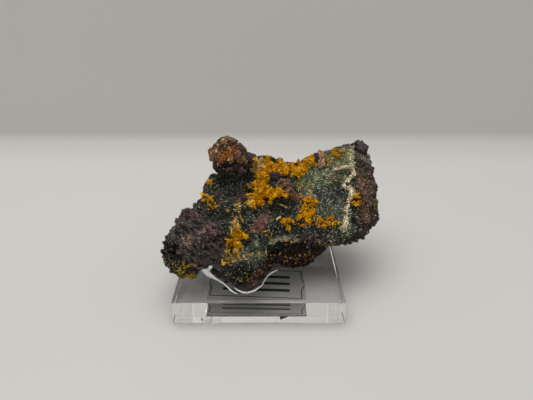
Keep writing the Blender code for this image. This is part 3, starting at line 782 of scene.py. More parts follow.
def add_piece_of(name, fields, material):
    """One object from several fields of crystals."""
    points, faces, numbers, start = [], [], [], 0
    for field_points, field_faces, field_numbers in fields:
        points.append(field_points)
        faces.append(field_faces + start)
        numbers.append(field_numbers)
        start += len(field_points)
    joined = {key: np.concatenate([part[key] for part in numbers]) for key in numbers[0]}
    joined.update(marks_at(joined["root"]))
    piece = make_piece(name, np.concatenate(points), np.concatenate(faces), material, joined)
    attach(piece, "root")
    print(name, "has", sum(len(part) for part in faces), "triangles")
    return piece


# %% [markdown]
# ## Fragments
#
# Broken rock doesn't grow needles. It has angular bits of its own stuff, bedded in it, and so
# has the chalky vein. A ball of twenty triangles whose corners are pushed about and which is
# squashed onto the ground makes a good fragment, because each triangle catches light by itself.
# The height of each corner above the ground is carried as how far along it lies, so that the
# finishes paint a fragment darker at its foot, as shade, and paler on top, as light.

# %% Fragment builder
NARROWNESS, BROKENNESS = (0.5, 1.0), (0.7, 1.25)


def ball_of(subdivisions, radius):
    """The corners of a ball of triangles, and the corner numbers of each triangle."""
    ball = bmesh.new()
    bmesh.ops.create_icosphere(ball, subdivisions=subdivisions, radius=radius)
    shape = np.array([tuple(corner.co) for corner in ball.verts])
    sides = np.array([[corner.index for corner in face.verts] for face in ball.faces])
    ball.free()
    return shape, sides


def crush(roots, normals, sizes, flatness, rng):
    """Points, triangles and named numbers of angular fragments bedded in the stone."""
    shape, sides = ball_of(subdivisions=1, radius=0.5)
    count, corners = len(roots), len(shape)
    across = unit(np.cross(normals, rng.normal(0, 1, (count, 3))))
    upward = np.cross(normals, across)
    narrow = rng.uniform(*NARROWNESS, count)
    stretch = np.stack([np.ones(count), narrow, np.full(count, flatness)], 1)
    local = shape[None] * rng.uniform(*BROKENNESS, (count, corners, 1))
    local = local * stretch[:, None] * sizes[:, None, None]
    points = (
        roots[:, None] + local[:, :, :1] * across[:, None]
        + local[:, :, 1:2] * upward[:, None] + local[:, :, 2:] * normals[:, None]
    )
    faces = (sides[None] + (np.arange(count) * corners)[:, None, None]).reshape(-1, 3)
    # A corner's height sets its painted shade: dark at the fragment's foot, pale on top.
    numbers = {
        "along": np.tile(shape[:, 2] + 0.5, count),
        "pick": np.repeat(rng.uniform(0, 1, count), corners),
        "root": np.repeat(roots, corners, axis=0),
    }
    return points.reshape(-1, 3), faces, numbers


# %% [markdown]
# ## Where crystals can grow
#
# Random points, the spots, are spread evenly over the stone by picking triangles by their area.
# The direction out of the stone comes from the smooth stone before weathering, because the
# normals of small bumps would point the crystals every way. A slow noise gives each place a
# combing direction, so that the needles lie in swirls as they do on the stone. Blender starts
# this noise from the clock, so its seed is set too, or the needles would lie another way each
# time the script runs.

# %% Spread points over a surface
SWIRL_SIZE = 5.0
SPOT_COUNT, SPOT_SEED = 110000, 7


def spread_over(corners, triangles, directions, count, rng):
    """Random places on a surface, even by area, with the direction out of it at each."""
    one = corners[triangles[:, 1]] - corners[triangles[:, 0]]
    two = corners[triangles[:, 2]] - corners[triangles[:, 0]]
    areas = np.cumsum(np.linalg.norm(np.cross(one, two), axis=1))
    which = triangles[np.searchsorted(areas, rng.uniform(0, areas[-1], count))]
    first, second = rng.uniform(0, 1, (2, count))
    fold = first + second > 1
    first[fold], second[fold] = 1 - first[fold], 1 - second[fold]
    weights = np.stack([1 - first - second, first, second], 1)[:, :, None]
    return (corners[which] * weights).sum(1), unit((directions[which] * weights).sum(1))


def comb(points, normals, lean, disorder, rng, drift=(0, 0, 0)):
    """Directions that lean from the normals by a range of degrees, in swirls or with a drift."""
    flow = np.array([noise.noise_vector(Vector(point) / SWIRL_SIZE) for point in points])
    flow += np.array(drift) + rng.normal(0, 1, flow.shape) * disorder
    sideways = unit(flow - (flow * normals).sum(1)[:, None] * normals)
    angles = np.radians(rng.uniform(*lean, len(points)))[:, None]
    return normals * np.cos(angles) + sideways * np.sin(angles)


noise.seed_set(SPOT_SEED)
rng = np.random.default_rng(SPOT_SEED)
spots, outs = spread_over(stone_points, stone_triangles, outward, SPOT_COUNT, rng)
print(len(spots), "spots on the stone")

# %% [markdown]
# ## Needle materials
#
# The needles take the ground colour of their own root, painted dark at the foot as shade and
# lighter towards the tip as light, and shine a little more than rock: the faces of the real ones
# flash in the light. A share of them, picked by chance, has a second, paler colour, because the
# speckle of pale on near black is what the stone looks like from a step away.

# %% Needle material
FOOT_SHADE = 0.2
FLECK_STRENGTH, FLECK_FADE = 0.5, 0.8


def needle_material(name, lift, variety, roughness, gloss, fleck, fleck_share):
    """A finish for crystals that take the stone's local colour, painted dark at the foot as shade,
    a share of them flecked.
    """
    material, tree, shader = new_material(name)
    root = carried(tree, "root", "Vector")
    pick, along = carried(tree, "pick"), carried(tree, "along")
    local = ground_colour_at(tree, root)
    odd = remap(tree, pick, 1 - fleck_share, 1 - fleck_share * FLECK_FADE, 0.0, FLECK_STRENGTH)
    own = mix_colours(tree, odd, local, fleck)
    # The foot is painted dark as shade among the crowded crystals, and the tip paler as light.
    foot = vector_step(tree, "MULTIPLY", own, (FOOT_SHADE * lift,) * 3)
    tip = vector_step(tree, "MULTIPLY", own, (lift,) * 3)
    tone = use_group(tree, crystal_tone, {
        "Foot": foot, "Tip": tip, "Pick": pick, "Along": along, "Variety": variety,
    })
    tree.links.new(tone.outputs["Colour"], shader.inputs["Base Color"])
    shader.inputs["Roughness"].default_value = roughness
    shader.inputs["Specular IOR Level"].default_value = gloss
    return material


felt_finish = needle_material(
    "felt", lift=1.5, variety=1.9, roughness=0.4, gloss=0.2,
    fleck=srgb(200, 206, 166), fleck_share=0.15,
)
druse_finish = needle_material(
    "druse", lift=1.15, variety=1.9, roughness=0.45, gloss=0.15,
    fleck=srgb(212, 214, 182), fleck_share=0.22,
)
hair_finish = needle_material(
    "hair", lift=1.4, variety=1.8, roughness=0.5, gloss=0.15,
    fleck=srgb(164, 148, 138), fleck_share=0.12,
)
grain_finish = needle_material(
    "grain", lift=1.15, variety=1.9, roughness=0.65, gloss=0.12,
    fleck=srgb(172, 138, 112), fleck_share=0.09,
)
chalk_finish = needle_material(
    "chalk", lift=1.6, variety=1.5, roughness=0.7, gloss=0.1,
    fleck=srgb(176, 140, 108), fleck_share=0.2,
)
print("needle finishes made")

# %% [markdown]
# ## Which crystals grow where
#
# Each kind of growth has a share of the spots, chosen by place: felt on the flat face, hair on
# the lobe, rubble on broken faces and on the vein, and a druse of short stubs on the rest. The
# far side of the stone can't be seen in the photograph. It is taken to be where the stone broke
# off its vein, so it is bare rock with rubble and less druse. A second number, the density, thins
# out what grows: on the far side, in a few places that are nearly bare, and in the pits.

# %% Share out the spots
SIGHT_LINE = np.array((0.0, -0.8, 0.6))
FACES_AWAY, FACES_US = -0.55, 0.1
FAR_SIDE_SHARE = 0.25
FAR_START, FAR_FULL, FAR_RUBBLE = -0.1, -0.5, 0.85
CORNER_WITHOUT_GRAIN = 0.9
VEIN_BED = (0.4, 1.0)
BARE_PLACES = [
    (0.75, ("corner lump", "lower edge")),
    (0.45, ("shoulder", "foot")),
    (0.5, ("middle's smooth dark",)),
]

slab_share = within(spots, "slab, upper", "slab, lower", "slab, top")
hair_share = within(spots, "lobe", "column")
grain_share = within(spots, "knob", "edge face", "under block", "tan lump", "hump")
grain_share *= 1 - CORNER_WITHOUT_GRAIN * within(spots, "corner lump")
vein_share = along_vein(spots, *VEIN_BED)
draw = rng.uniform(0, 1, len(spots))
thin = rng.uniform(0, 1, len(spots))
facing = smooth_step(outs @ SIGHT_LINE, FACES_AWAY, FACES_US)
density = FAR_SIDE_SHARE + (1 - FAR_SIDE_SHARE) * facing
for bareness, names in BARE_PLACES:
    density *= 1 - bareness * within(spots, *names)
density *= (1 - share_of(spots, PITS_WITH_PAINTED_SHADE)) * (1 - within(spots, "splinter's bed"))

is_vein = draw < vein_share
is_grain = ~is_vein & (draw < grain_share)
is_hair = ~is_vein & ~is_grain & (draw < hair_share)
is_slab = ~is_vein & ~is_grain & ~is_hair & (draw < slab_share)
far = smooth_step(outs @ SIGHT_LINE, FAR_START, FAR_FULL)
is_back = ~(is_vein | is_grain | is_hair | is_slab) & (draw < FAR_RUBBLE * far)
is_rest = ~(is_vein | is_grain | is_hair | is_slab | is_back)
for kind, chosen in (("vein", is_vein), ("rubble", is_grain), ("hair", is_hair),
                     ("felt", is_slab), ("back", is_back), ("druse", is_rest)):
    print(kind, "has", chosen.sum(), "spots")

# %% [markdown]
# ## Felt, druse, hair and rubble
#
# The felt's needles are long and lie low, combed sideways. The druse's stubs are short and lean
# every way. The lobe's hair lies flat on it. Rubble is fragments of rock: a few large ones on the
# knob, many small ones on the broken edge, standing ones on the hump, chalky ones on the vein and
# coarse ones on the far side. The druse is two pieces, front and back, so that no piece is large.

# %% Fields of needles and fragments
NEEDLE = {"sides": 3, "shoulder": 0.65, "taper": 0.75}


def field(chosen, share, length, width, lean, disorder, sink, drift=(0, 0, 0)):
    """Three-sided needles on the chosen places, thinned out to a share of them."""
    keep = chosen & (thin < share * density)
    roots, normals = spots[keep], outs[keep]
    ways = comb(roots, normals, lean, disorder, rng, drift)
    lengths = rng.uniform(*length, len(roots))
    widths = rng.uniform(*width, len(roots))
    return grow(roots - normals * sink, ways, lengths, widths, rng=rng, **NEEDLE)


def rubble(chosen, share, size, flatness):
    """Fragments on the chosen places, many small ones to each large one."""
    keep = chosen & (thin < share * density)
    sizes = size[0] + (size[1] - size[0]) * rng.uniform(0, 1, keep.sum()) ** 3
    return crush(spots[keep], outs[keep], sizes, flatness, rng)


# %% Grow the felt, the druse, the hair and the rubble
FELT = {
    "share": 0.85, "length": (0.6, 1.4), "width": (0.15, 0.24), "lean": (72, 88),
    "disorder": 0.3, "sink": 0.05, "drift": (0.45, 0.0, 0.1),
}
DRUSE = {
    "share": 0.85, "length": (0.3, 0.75), "width": (0.14, 0.23), "lean": (58, 88),
    "disorder": 1.0, "sink": 0.08,
}
HAIR = {
    "share": 0.5, "length": (0.3, 0.9), "width": (0.14, 0.22), "lean": (87, 90),
    "disorder": 0.15, "sink": 0.03, "drift": (0.5, 0.0, -0.1),
}
DRUSE_PARTING = -2.0
KNOB_START, HUMP_START = 0.3, 0.1

felt = field(is_slab, **FELT)
is_front = spots[:, 1] < DRUSE_PARTING
front_druse = field(is_rest & is_front, **DRUSE)
back_druse = field(is_rest & ~is_front, **DRUSE)
hair = field(is_hair, **HAIR)
is_knob = is_grain & (within(spots, "knob") > KNOB_START)
is_hump = is_grain & (within(spots, "hump") > HUMP_START)
is_edge = is_grain & ~is_knob & ~is_hump
knob_bits = rubble(is_knob, share=0.12, size=(0.3, 1.1), flatness=0.5)
edge_bits = rubble(is_edge, share=0.55, size=(0.12, 0.6), flatness=0.45)
hump_bits = rubble(is_hump, share=0.8, size=(0.15, 0.6), flatness=0.9)
back_bits = rubble(is_back, share=0.42, size=(0.3, 1.3), flatness=0.5)
chalk = rubble(is_vein, share=0.9, size=(0.15, 0.5), flatness=0.6)
add_piece_of("felt", [felt], felt_finish)
add_piece_of("druse_front", [front_druse], druse_finish)
add_piece_of("druse_back", [back_druse], druse_finish)
add_piece_of("hair", [hair], hair_finish)
add_piece_of("rubble", [knob_bits, edge_bits, hump_bits], grain_finish)
add_piece_of("back_rubble", [back_bits], grain_finish)
add_piece_of("vein_rubble", [chalk], chalk_finish)

# %% [markdown]
# ## The mimetite
#
# Mimetite grows in short six-sided prisms, orange-yellow and glassy, packed in sprays that stand
# out from the stone. Their tone is patchy, from orange to yellow. Each prism is painted darker at
# its foot, as shade among the crowded crystals, and paler at its tip, as light. In a few places
# the crystals are thin and straw-coloured.

# %% Mimetite material
STRAW_PLACES = [
    ((-5.2, -3.0, 22.1), (-6.3, -7.0, 18.8), 1.5, 2.5),
    ((-2.4, 7.4, 28.8), (-0.6, 7.4, 28.4), 1.4, 2.4),
    ((-6.8, -13.0, 14.0), (2.4, -12.0, 14.0), 1.0, 2.0),
    ((-2.6, 0.4, 23.6), (-2.4, -2.4, 21.6), 0.6, 1.4),
]
# Each foot colour is darker than its tip: painted shade at the foot, painted light at the tip.
ORANGE_FOOT, ORANGE_TIP = srgb(174, 106, 0), srgb(252, 178, 4)
YELLOW_FOOT, YELLOW_TIP = srgb(188, 126, 0), srgb(255, 212, 22)
STRAW_FOOT, STRAW_TIP = srgb(172, 136, 70), srgb(240, 224, 152)
FOOT_STRAW, TIP_STRAW = 0.8, 0.7
PATCH_SCALE, PATCH_RANGE = 0.6, (0.38, 0.62)

mimetite, tree, shader = new_material("mimetite")
pick, along = carried(tree, "pick"), carried(tree, "along")
root = carried(tree, "root", "Vector")
yellowness = remap(tree, clouds(tree, root, PATCH_SCALE, 3.0), *PATCH_RANGE)
foot = mix_colours(tree, yellowness, ORANGE_FOOT, YELLOW_FOOT)
tip = mix_colours(tree, yellowness, ORANGE_TIP, YELLOW_TIP)
for start, end, inner, outer in STRAW_PLACES:
    pale = use_group(tree, stain, {
        "Place": root,
        "Start": start,
        "Span": tuple(np.subtract(end, start)),
        "Inner": inner,
        "Outer": outer,
    }).outputs["Mask"]
    foot = mix_colours(tree, calculate(tree, "MULTIPLY", pale, FOOT_STRAW), foot, STRAW_FOOT)
    tip = mix_colours(tree, calculate(tree, "MULTIPLY", pale, TIP_STRAW), tip, STRAW_TIP)
tone = use_group(
    tree, crystal_tone, {"Foot": foot, "Tip": tip, "Pick": pick, "Along": along, "Variety": 0.8}
)
tree.links.new(tone.outputs["Colour"], shader.inputs["Base Color"])
shader.inputs["Roughness"].default_value = 0.36
shader.inputs["Specular IOR Level"].default_value = 0.14
print("mimetite finish made")

# %% [markdown]
# ## The ochre dust
#
# Under the lobe and round the foot the crystals are no more than a dull ochre powder. It has the
# same group for its tones as the crystals, with darker colours and a rougher surface, so each
# speck is also painted darker at its foot, as shade.

# %% Dust material
dust_finish, tree, shader = new_material("ochre dust")
pick, along = carried(tree, "pick"), carried(tree, "along")
tone = use_group(tree, crystal_tone, {
    "Foot": srgb(70, 54, 12), "Tip": srgb(180, 150, 34),
    "Pick": pick, "Along": along, "Variety": 1.2,
})
tree.links.new(tone.outputs["Colour"], shader.inputs["Base Color"])
shader.inputs["Roughness"].default_value = 0.6
shader.inputs["Specular IOR Level"].default_value = 0.2
print("dust finish made")

# %% [markdown]
# ## The heart of a crust
#
# A dense crust has a solid heart under its crystals: its CAD solid, melted, drawn in by half a
# crystal or more, and roughened. Where a dense crust has a sparse part, the heart dives under the
# stone, and its triangles that lie wholly there are left out. The heart takes tones near a
# crystal's dark foot: painted shade under the crystals.

# %% Heart of a crust
SPARSE_PARTS = [
    ((-5.2, -3.0, 22.1), (-6.3, -7.0, 18.8), 1.6, 2.4),
    ((-2.6, 0.4, 23.6), (-2.4, -2.4, 21.6), 0.6, 1.4),
    ((5.6, -4.4, 19.0), (9.8, -5.8, 18.2), 1.8, 2.7),
    ((13.4, -7.4, 17.4), (19.0, -7.6, 17.0), 0.8, 1.6),
    ((13.6, -5.6, 19.0), (15.4, -6.0, 18.6), 0.4, 1.4),
    ((-7.6, -12.0, 14.8), (-6.8, -13.4, 14.2), 1.8, 2.8),
    ((10.4, -6.3, 17.4), (13.6, -7.2, 17.4), 0.7, 1.6),
]
BLADED_CRUSTS = ("mimetite_left", "mimetite_right", "mimetite_right_low", "mimetite_shoulder")
HEART_VOXEL, HEART_SMOOTHING = 0.3, 3
HEART_DEPTH, DEEP_HEART = 0.6, 0.95
HEART_BUMP_SIZE, HEART_BUMP_HEIGHT = 0.8, 0.35
SPARSE_START = 0.3
HIDDEN_DEPTH = 0.8
# The heart's low numbers give it the dark foot colour, as painted shade under the crystals.
HEART_ALONG, HEART_PICK = (0.1, 0.3), (0.3, 0.6)


def heart_of(node):
    """The solid heart of a dense crust, as points, triangles and named numbers."""
    mesh = melted(node, HEART_VOXEL, HEART_SMOOTHING)
    corners = points_of(mesh)
    rough = np.array(
        [noise.fractal(Vector(corner) / HEART_BUMP_SIZE, *FRACTAL) for corner in corners]
    )
    depth = DEEP_HEART if node in BLADED_CRUSTS else HEART_DEPTH
    places = corners - normals_of(mesh) * (depth - HEART_BUMP_HEIGHT * rough)[:, None]
    hidden = smooth_step(share_of(corners, SPARSE_PARTS), 0.0, SPARSE_START)
    for index in np.flatnonzero(hidden > 0):
        _, near, outwards, _ = stone.closest_point_on_mesh(Vector(places[index]) * MM)
        below = np.array(near) / MM - np.array(outwards) * HIDDEN_DEPTH
        places[index] += (below - places[index]) * hidden[index]
    triangles = triangles_of(mesh)
    triangles = triangles[(hidden[triangles] < 1).any(axis=1)]
    used, triangles = np.unique(triangles, return_inverse=True)
    numbers = {
        "along": np.clip(HEART_ALONG[0] + HEART_ALONG[1] * rough[used], 0, 1),
        "pick": np.clip(HEART_PICK[0] + HEART_PICK[1] * rough[used], 0, 1),
        "root": corners[used],
    }
    return places[used], triangles.reshape(-1, 3), numbers


print(len(SPARSE_PARTS), "sparse parts of the crusts")

# %% [markdown]
# ## The prisms of a crust
#
# Points are spread over the CAD solid of a crust and a prism ends at or a little under each of
# them, so that the crust keeps the size that the model gives it. Over a heart a prism is short
# and starts inside the heart. Where crystals stand alone, in a sparse part or in a crust that has
# no heart, each has to reach the stone, or it would hang in the air: its root is the nearest
# place on the stone, scattered a little, and it is as long as it needs to be.

# %% Prisms of a crust
CRUST_DENSITY = 16.0
CRUSTS_WITHOUT_HEART = {
    "mimetite_shoulder": 0.08, "mimetite_lobe": 0.06, "mimetite_top": 0.2, "mimetite_edge": 0.12,
    "mimetite_right": 1.1, "mimetite_right_low": 0.4,
}
GRAIN_LENGTH, BLADE_LENGTH = (0.4, 0.85), (0.7, 1.5)
PRISM_WIDTH, BLADE_WIDTH = (0.22, 0.42), (0.2, 0.38)
STRAW_NARROWING = 0.3
LEAST_RISE, MOST_OVERHANG = 0.25, 0.1
SPARSE_THINNING = 0.9
LONE_DEPTH, CROWDED_DEPTH = 0.8, 0.5
RISE_PULL, NORMAL_PULL, WAY_SCATTER = 0.6, 0.7, 0.45
END_SHIFT = (-0.3, 0.15)
ROOT_SCATTER = 0.2
PRISM = {"sides": 6, "shoulder": 0.82, "taper": 0.8}


def prisms_of(node, rng):
    """Prisms that reach the surface of a crust's CAD solid."""
    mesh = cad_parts[node].data
    corners, triangles = points_of(mesh), triangles_of(mesh)
    areas = [triangle.area for triangle in mesh.loop_triangles]
    count = int(sum(areas) / MM ** 2 * CRUST_DENSITY * CRUSTS_WITHOUT_HEART.get(node, 1.0))
    places, normals = spread_over(corners, triangles, normals_of(mesh), count, rng)
    nearest = [stone.closest_point_on_mesh(Vector(place) * MM)[1] for place in places]
    rise = places - np.array(nearest) / MM
    height = np.linalg.norm(rise, axis=1)
    stands = (height > LEAST_RISE) & ((rise * normals).sum(1) > -MOST_OVERHANG * height)
    thinning = SPARSE_THINNING * share_of(places, SPARSE_PARTS)
    stands &= rng.uniform(0, 1, len(places)) > thinning
    places, normals, rise = places[stands], normals[stands], rise[stands]
    bladed = node in BLADED_CRUSTS
    alone = share_of(places, SPARSE_PARTS) > SPARSE_START
    alone |= node in CRUSTS_WITHOUT_HEART
    chance = rng.uniform(0, 1, len(places))
    depth = np.where(alone, LONE_DEPTH * chance, CROWDED_DEPTH * chance ** 2)
    tips = places - rise * depth[:, None]
    scatter = rng.normal(0, WAY_SCATTER, places.shape)
    ways = unit(RISE_PULL * unit(rise) + NORMAL_PULL * normals + scatter)
    lengths = rng.uniform(*(BLADE_LENGTH if bladed else GRAIN_LENGTH), len(places))
    roots = tips + ways * (rng.uniform(*END_SHIFT, len(places)) - lengths)[:, None]
    own_roots = places - rise + rng.normal(0, ROOT_SCATTER, places.shape)
    roots[alone] = own_roots[alone]
    ways[alone] = unit(tips - roots)[alone]
    lengths[alone] = np.maximum(np.linalg.norm(tips - roots, axis=1), GRAIN_LENGTH[0])[alone]
    widths = rng.uniform(*(BLADE_WIDTH if bladed else PRISM_WIDTH), len(places))
    widths *= 1 - STRAW_NARROWING * share_of(places, STRAW_PLACES)
    return grow(roots, ways, lengths, widths, rng=rng, **PRISM)


# %% Grow the mimetite crusts
CRUST_SEED = 21

rng = np.random.default_rng(CRUST_SEED)
for node in sorted(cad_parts):
    if node.startswith("mimetite"):
        parts = [prisms_of(node, rng)]
        if node not in CRUSTS_WITHOUT_HEART:
            parts.append(heart_of(node))
        finish = dust_finish if node == "mimetite_lobe" else mimetite
        spray = add_piece_of(node + "_spray", parts, finish)
        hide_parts(node)

# %% [markdown]
# ## Stray crystals and dust
#
# Around the crusts single yellow needles lie on the dark felt, alone or in loose groups. The
# lobe's lower rim, the foot and the underside are dusted with ochre specks instead, too fine to
# show as needles. Both are scattered round a list of places, more thinly towards the rim of each.

# %% Scatter the strays
STRAYS = [
    ((-0.8, 7.8, 28.6), (7.0, 8.2, 27.8), 1.6, 420),
    ((7.0, 8.0, 27.6), (13.6, 8.8, 29.0), 1.4, 380),
    ((0.9, 5.8, 27.2), (0.0, -1.4, 23.0), 1.6, 520),
    ((3.4, -1.4, 24.6), (5.4, -2.0, 23.6), 1.0, 90),
    ((-2.6, 2.4, 25.6), (-2.2, -2.4, 21.6), 1.0, 30),
    ((2.0, -2.0, 23.4), (7.0, -2.6, 23.4), 1.2, 30),
    ((-14.4, 0.6, 23.6), (-11.6, -3.0, 22.0), 1.2, 30),
    ((5.9, -4.2, 19.2), (7.8, -5.1, 18.7), 0.6, 44),
    ((4.0, 9.4, 28.4), (8.4, 9.8, 28.2), 1.1, 200),
    ((-12.4, 2.8, 26.0), (-11.8, 2.6, 26.8), 0.7, 20),
    ((-5.0, -2.8, 22.2), (-6.4, -7.2, 18.6), 1.3, 80),
    ((-7.0, -9.0, 17.6), (-7.0, -12.4, 15.0), 1.0, 34),
    ((-5.4, -13.8, 14.2), (2.4, -11.6, 14.0), 0.9, 26),
    ((11.6, 0.0, 24.0), (12.2, -6.2, 19.0), 1.5, 45),
    ((13.6, -6.0, 18.8), (18.6, -6.4, 18.0), 1.1, 26),
    ((6.0, -5.6, 18.6), (9.0, -6.0, 18.4), 0.8, 16),
    ((16.6, 8.6, 29.6), (22.8, 10.8, 31.2), 1.3, 30),
    ((24.6, 1.0, 23.0), (25.2, -1.6, 20.6), 0.9, 30),
    ((9.2, 3.4, 25.4), (12.6, 2.0, 24.8), 1.0, 12),
    ((0.6, -8.0, 17.8), (3.0, -8.4, 17.0), 0.8, 10),
]
DUSTS = [
    ((-18.1, -15.4, 14.2), (-17.4, -15.4, 12.2), 0.9, 55),
    ((-19.6, -15.6, 10.9), (-15.2, -15.9, 10.2), 0.7, 150),
    ((-22.0, -13.0, 13.6), (-19.0, -14.8, 11.4), 1.0, 14),
    ((-7.0, -12.0, 15.0), (-7.2, -14.0, 13.0), 0.9, 90),
    ((-4.0, -15.6, 9.8), (-2.0, -16.0, 8.2), 1.5, 34),
    ((3.0, -10.8, 12.0), (14.8, -9.4, 11.2), 1.8, 36),
    ((12.4, -9.4, 14.6), (20.6, -7.6, 14.6), 0.8, 40),
    ((26.0, 10.0, 29.0), (30.0, -0.6, 19.0), 2.2, 50),
    ((1.8, -9.8, 16.8), (4.0, -9.4, 16.8), 0.7, 14),
    ((5.0, -0.4, 27.4), (9.4, -1.8, 24.4), 1.6, 44),
]
STRAY_SEED = 33
STRAY_LENGTH, STRAY_WIDTH = (0.5, 1.1), (0.2, 0.32)
STRAY_LEAN, STRAY_DISORDER = (15, 75), 1.0
STRAY_SHIFT = 0.1
STRAY = {"sides": 5, "shoulder": 0.8, "taper": 0.8}
SPILL, TURNED_AWAY = 1.3, -0.3


def gather(table, rng):
    """Places chosen from the spots round each line of a table, none of them twice."""
    chosen = []
    for start, end, radius, count in table:
        reach = distance_to(spots, start, end)
        chance = np.clip(1 - reach / (radius * SPILL), 0, 1) * (outs @ SIGHT_LINE > TURNED_AWAY)
        count = min(count, int((chance > 0).sum()))
        chosen.append(rng.choice(len(spots), count, replace=False, p=chance / chance.sum()))
    return np.unique(np.concatenate(chosen))


rng = np.random.default_rng(STRAY_SEED)
chosen = gather(STRAYS, rng)
roots, normals = spots[chosen], outs[chosen]
ways = comb(roots, normals, STRAY_LEAN, STRAY_DISORDER, rng)
lengths, widths = rng.uniform(*STRAY_LENGTH, len(roots)), rng.uniform(*STRAY_WIDTH, len(roots))
feet = roots - normals * STRAY_SHIFT + ways * STRAY_SHIFT
strays = grow(feet, ways, lengths, widths, rng=rng, **STRAY)
stray_piece = add_piece_of("stray_crystals", [strays], mimetite)

# %% Scatter the dust
DUST_SIZE, DUST_LIFT, DUST_FLATNESS = (0.2, 0.5), 0.1, 0.8

chosen = gather(DUSTS, rng)
sizes = rng.uniform(*DUST_SIZE, len(chosen))
feet = spots[chosen] + outs[chosen] * DUST_LIFT
dust = crush(feet, outs[chosen], sizes, DUST_FLATNESS, rng)
dust_piece = add_piece_of("ochre_dust", [dust], dust_finish)

# %% [markdown]
# ## Single things on the stone
#
# A few things stand alone and are seen at once: a tan splinter at the top of the vein, a dark
# boulder on the crest, a row of tan chips at the right end of the crest, one long yellow lath and
# two yellow beads. The skyline behind the crest, the knob and the foot have lumps that the CAD
# stone is too coarse for. Each is a small rounded solid drawn out along a line and roughened.
# They are placed one by one.

# %% Chips
CHIPS = [
    ("splinter", (19.0, 4.8, 28.4), (22.0, 5.7, 29.0), 0.8, srgb(228, 204, 170), 0.8),
    ("splinter_end", (21.2, 5.6, 28.9), (24.2, 6.1, 28.6), 0.8, srgb(222, 200, 168), 0.8),
    ("dark_boulder", (3.3, 2.3, 28.0), (5.2, 0.9, 28.0), 2.1, srgb(46, 47, 44), 0.85),
    ("crest_rim_left", (-0.5, 10.4, 29.5), (3.0, 11.4, 29.1), 1.2, srgb(62, 68, 58), 0.85),
    ("crest_rim_right", (7.1, 11.4, 27.5), (10.0, 11.0, 27.2), 1.0, srgb(62, 68, 58), 0.85),
    ("knob_slope", (-5.5, 6.0, 34.5), (-3.8, 6.4, 32.6), 2.1, srgb(92, 70, 56), 0.8),
    ("knob_cheek", (-11.6, 4.8, 32.3), (-11.5, 4.6, 31.3), 2.2, srgb(134, 100, 72), 0.8),
    ("knob_jaw", (-10.9, 4.4, 30.4), (-10.3, 4.2, 28.7), 2.2, srgb(52, 45, 44), 0.8),
    ("knob_shoulder", (-3.4, 6.4, 31.4), (-1.6, 8.2, 29.8), 2.8, srgb(74, 58, 50), 0.8),
    ("corner_knob", (26.7, 13.4, 31.9), (28.5, 12.9, 31.1), 2.5, srgb(78, 66, 64), 0.8),
    ("foot_lump_web", (-10.3, -10.9, 8.7), (-9.2, -11.8, 7.8), 2.1, srgb(60, 52, 48), 0.8),
    ("foot_lump_left", (-9.0, -11.4, 8.6), (-6.8, -13.4, 7.8), 2.4, srgb(60, 54, 52), 0.8),
    ("foot_lump_low", (-4.9, -14.9, 7.2), (-1.8, -15.3, 7.0), 1.8, srgb(52, 48, 48), 0.8),
    ("foot_lump_right", (-1.6, -14.8, 6.9), (-0.2, -13.6, 7.4), 1.6, srgb(86, 62, 60), 0.8),
    ("tan_chip_low", (16.0, 6.6, 28.8), (15.9, 7.7, 29.7), 1.6, srgb(176, 136, 104), 0.75),
    ("tan_chip_middle", (16.5, 7.4, 29.5), (16.3, 8.6, 30.2), 0.9, srgb(200, 166, 136), 0.75),
    ("tan_chip_high", (15.9, 8.4, 30.2), (16.5, 9.6, 31.1), 1.6, srgb(164, 122, 92), 0.75),
    ("tan_chip_top", (15.6, 9.4, 31.0), (15.9, 10.0, 31.4), 1.0, srgb(180, 134, 98), 0.75),
    ("dark_chip", (14.9, 7.8, 29.6), (15.1, 9.6, 30.9), 1.2, srgb(46, 40, 38), 0.75),
    ("yellow_lath", (5.0, -1.5, 21.9), (7.0, -2.1, 21.1), 0.32, srgb(222, 176, 70), 0.45),
    ("yellow_bead_left", (6.4, -9.2, 16.1), (6.7, -9.2, 16.1), 0.55, srgb(226, 160, 20), 0.4),
    ("yellow_bead_right", (7.7, -8.9, 15.3), (8.0, -8.9, 15.3), 0.45, srgb(226, 160, 20), 0.4),
    ("pale_tuft", (4.2, -5.7, 19.7), (5.2, -4.6, 20.0), 0.5, srgb(214, 212, 140), 0.6),
]
CHIP_GRAINS = {"Scale": 3.0, "Contrast": 1.3}
CHIP_FULLNESS = 0.6
CHIP_BUMP_SIZE, CHIP_ROUGHNESS = 0.45, 0.42
WIDEST_FOR_BUMPS = 1.2


def chip(name, start, end, width, colour, roughness):
    """A rough little solid from start to end, of one mottled colour."""
    material, tree, shader = new_material(name)
    speckled = use_group(
        tree, grains, {"Place": place_on_object(tree), "Colour": colour, **CHIP_GRAINS}
    )
    tree.links.new(speckled.outputs["Colour"], shader.inputs["Base Color"])
    shader.inputs["Roughness"].default_value = roughness
    shape, sides = ball_of(subdivisions=3, radius=1.0)
    start, end = np.array(start), np.array(end)
    middle, half = (start + end) / 2, np.linalg.norm(end - start) / 2
    way = (end - start) / (half * 2)
    along = np.sign(shape @ way) * np.abs(shape @ way) ** CHIP_FULLNESS
    spread = shape - (shape @ way)[:, None] * way
    points = middle + along[:, None] * way * (half + width / 4) + spread * width / 2
    bumps = [noise.fractal(Vector(point) / CHIP_BUMP_SIZE, *FRACTAL) for point in points]
    roughness_here = CHIP_ROUGHNESS * min(width, WIDEST_FOR_BUMPS)
    points += shape * (np.array(bumps) * roughness_here)[:, None]
    piece = make_piece(name, points, sides, material)
    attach(piece, "root")


for row in CHIPS:
    chip(*row)
print(len(CHIPS), "chips")

